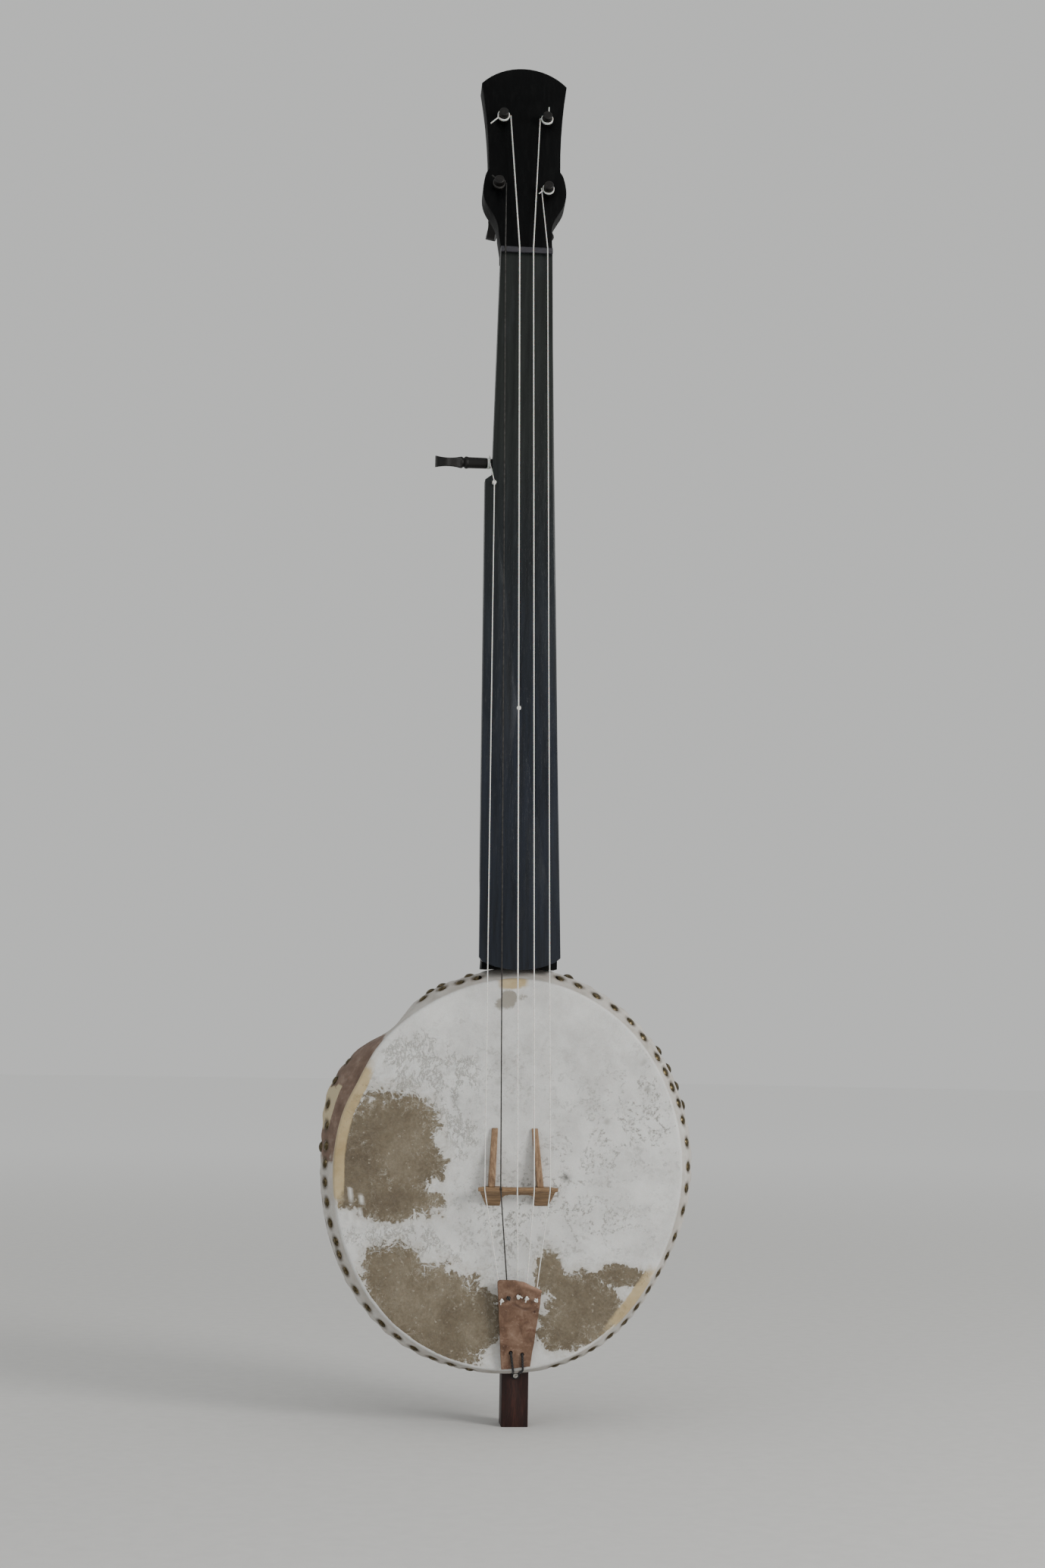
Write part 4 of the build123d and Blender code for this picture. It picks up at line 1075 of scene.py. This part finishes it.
def make_tailpiece():
    """Softened plate with a lumpy face, paler along its upper edge, with painted shade in its pressed crease
    and a small dark dot.
    """
    mesh = softened("tail_plate", "tailpiece", 0.3 * MM, 7)
    low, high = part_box("tailpiece")
    normals = [normal.vector.copy() for normal in mesh.vertex_normals]
    rubbed, crease_shade_and_dot = [], []
    for vertex, normal in zip(mesh.vertices, normals):
        point = vertex.co
        x, below = point.x / MM, (high[2] - point.z) / MM
        crease = abs(below - 17.5 - 1.3 * math.sin(0.32 * x + 0.4) - 0.12 * x)
        crease = fade(crease, 1.7, 0.2) * fade(x, -7, -2) * fade(x, 12, 6)
        crease *= 0.6 + 0.5 * noise.noise(point * 230)
        dot = fade(math.hypot(x - 10.2, below - 21.0), 1.0, 0.5)
        slant = (point.x - low[0]) / (high[0] - low[0])
        lump = noise.noise(point * 130) * 0.3 + noise.noise(point * 420) * 0.1
        vertex.co = point + normal * (lump - 0.25 - 0.35 * crease) * MM
        # paler along the upper right edge; painted shade along the crease, and a small dark dot
        rubbed.append(fade(below - 6 * slant ** 2, 4, 0.5) * fade(slant, 0.35, 0.75))
        crease_shade_and_dot.append(max(0.75 * crease, dot))
    set_attribute(mesh, "edge", rubbed)
    set_attribute(mesh, "crease_shade_and_dot", crease_shade_and_dot)
    add_piece("tail_plate", mesh, LEATHER, "banjo", "tail_leather", "tailpiece")


make_tailpiece()


# ---- strings, knots and turns ----


def knot_path(centre, facing, size, lean):
    """A trefoil, flattened against the plate."""
    side = facing.orthogonal().normalized()
    side = Matrix.Rotation(lean, 3, facing) @ side
    across = facing.cross(side)
    path = []
    for k in range(49):
        t = 2 * math.pi * k / 48
        a = (math.sin(t) + 2 * math.sin(2 * t)) / 3
        b = (math.cos(t) - 2 * math.cos(2 * t)) / 3
        path.append(centre + (side * a + across * b) * size + facing * (-math.sin(3 * t)) * size * 0.42)
    return path


def make_string(i, material, slot, radius):
    """The CAD string without its ball, and a real knot with a short end in the ball's place."""
    node = f"string_{i}"
    points = np.array([tuple(v.co) for v in NODES[node].data.vertices])
    lowest = points[points[:, 2] < points[:, 2].min() + 2.9 * MM]
    centre = Vector((lowest.min(axis=0) + lowest.max(axis=0)) / 2)
    centre.z = points[:, 2].min() + KNOT_BALL
    centre.y = points[:, 1][points[:, 2] < centre.z + KNOT_BALL].min() + KNOT_BALL
    work = bmesh.new()
    work.from_mesh(NODES[node].data)
    bmesh.ops.remove_doubles(work, verts=work.verts, dist=WELD)
    ball = [v for v in work.verts if (v.co - centre).length < KNOT_BALL * 1.015]
    bmesh.ops.delete(work, geom=ball, context="VERTS")
    facing = Vector((0, -0.994, -0.105))
    tube_into(work, knot_path(centre, facing, 1.15 * MM, 0.7 * i), radius * 1.12, 12)
    tail_way = Vector((math.cos(2.1 * i), -0.5, math.sin(2.1 * i))).normalized()
    start = centre + tail_way * 0.9 * MM
    bend = Vector((0.2, 0.1, -0.5)) * MM
    tube_into(work, [start, start + tail_way * 0.8 * MM, start + tail_way * 1.7 * MM + bend], radius, 10)
    mesh = finish_bmesh(work, f"string_line_{i}")
    add_piece(f"string_line_{i}", mesh, material, "banjo", slot, node)


def make_turns(i, material, slot, radius, turns, tag_angle, tag_rise, tag_length):
    """The string's turns on its peg, laid a little unevenly, and its cut end."""
    joint = JOINTS[f"peg_{i}"]
    node = f"string_winding_{i}"
    origin = Vector(joint["pos_m"])
    axis = Vector(joint["axis"]).normalized()
    points = np.array([tuple(v.co) for v in NODES[node].data.vertices]) - np.array(origin)
    heights = points @ np.array(axis)
    spans = np.linalg.norm(points - np.outer(heights, np.array(axis)), axis=1)
    post = spans.min() + radius
    coil = heights[spans < spans.min() + 2.05 * radius]
    low, high = coil.min() + radius, coil.max() - radius
    side = Vector((1, 0, 0)) if abs(axis.x) < 0.5 else Vector((0, 0, 1))
    side = (side - axis * side.dot(axis)).normalized()
    across = axis.cross(side)
    end_turn = math.radians(tag_angle)
    path = []
    steps = int(30 * turns)
    for k in range(steps + 1):
        t = k / steps
        turn = end_turn - 2 * math.pi * turns * (1 - t)
        slack = 0.04 * MM * math.sin(3.1 * turn + i)
        rise = low + (high - low) * t + 0.12 * MM * math.sin(1.7 * turn + 2 * i) * math.sin(math.pi * t)
        spoke = side * math.cos(turn) + across * math.sin(turn)
        path.append(origin + axis * rise + spoke * (post + abs(slack)))
    last = path[-1]
    way = side * math.cos(end_turn + 0.5) + across * math.sin(end_turn + 0.5) + axis * tag_rise
    way.normalize()
    along = across * math.cos(end_turn) - side * math.sin(end_turn)
    path += [last + along * 0.6 * MM + way * 0.5 * MM, last + along * 0.7 * MM + way * 1.6 * MM]
    path += [last + along * 0.7 * MM + way * tag_length]
    work = bmesh.new()
    tube_into(work, path, radius * 0.97, 10)
    mesh = finish_bmesh(work, f"turns_{i}")
    add_piece(f"turns_{i}", mesh, material, f"peg_{i}", slot, node)


KNOT_BALL = 1.45 * MM
TURNS = 3.3
TURNS_SIDE_PEG = 4.6
STRING_RADII = [0.35, 0.4, 0.45, 0.45, 0.35]
# each cut end: (angle in degrees, rise along the peg, length in millimetres)
TAGS = [(196, 0.1, 4.8), (62, 0.3, 5.0), (200, 0.15, 9.0), (118, 0.25, 3.4), (20, -0.4, 2.4)]
for i, (radius, tag) in enumerate(zip(STRING_RADII, TAGS), start=1):
    material, slot = (WOUND, "string_dark") if i == 4 else (NYLON, "string_white")
    make_string(i, material, slot, radius * MM)
    turns = TURNS_SIDE_PEG if i == 5 else TURNS
    make_turns(i, material, slot, radius * MM, turns, tag[0], tag[1], tag[2] * MM)


# ---- small hardware ----


def make_screw():
    """Round-headed screw with a slot across its head."""
    mesh = softened("tail_screw_head", "tail_screw", 0.12 * MM, 3)
    low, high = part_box("tail_screw")
    middle = Vector(((low[0] + high[0]) / 2, low[1], (low[2] + high[2]) / 2))
    slot_way = Vector((math.cos(0.6), 0, math.sin(0.6)))
    for vertex in mesh.vertices:
        arm = vertex.co - middle
        off_slot = abs(arm.x * slot_way.z - arm.z * slot_way.x)
        if vertex.co.y < low[1] + 0.7 * MM and off_slot < 0.32 * MM:
            vertex.co.y = low[1] + 0.7 * MM
    add_piece("tail_screw_head", mesh, STEEL, "banjo", "screw_steel", "tail_screw")


make_screw()
dress(NODES["tail_cord"], CORD)
dress(NODES["octave_dot"], DOT_BONE)
dress(NODES["fifth_string_pip"], PIP_BONE)


# ---- floor ----

floor_work = bmesh.new()
bmesh.ops.create_circle(floor_work, cap_ends=True, segments=96, radius=14)
floor_mesh = bpy.data.meshes.new("floor")
floor_work.to_mesh(floor_mesh)
floor_work.free()
floor = bpy.data.objects.new("floor", floor_mesh)
bpy.context.scene.collection.objects.link(floor)
dress(floor, paint_floor())
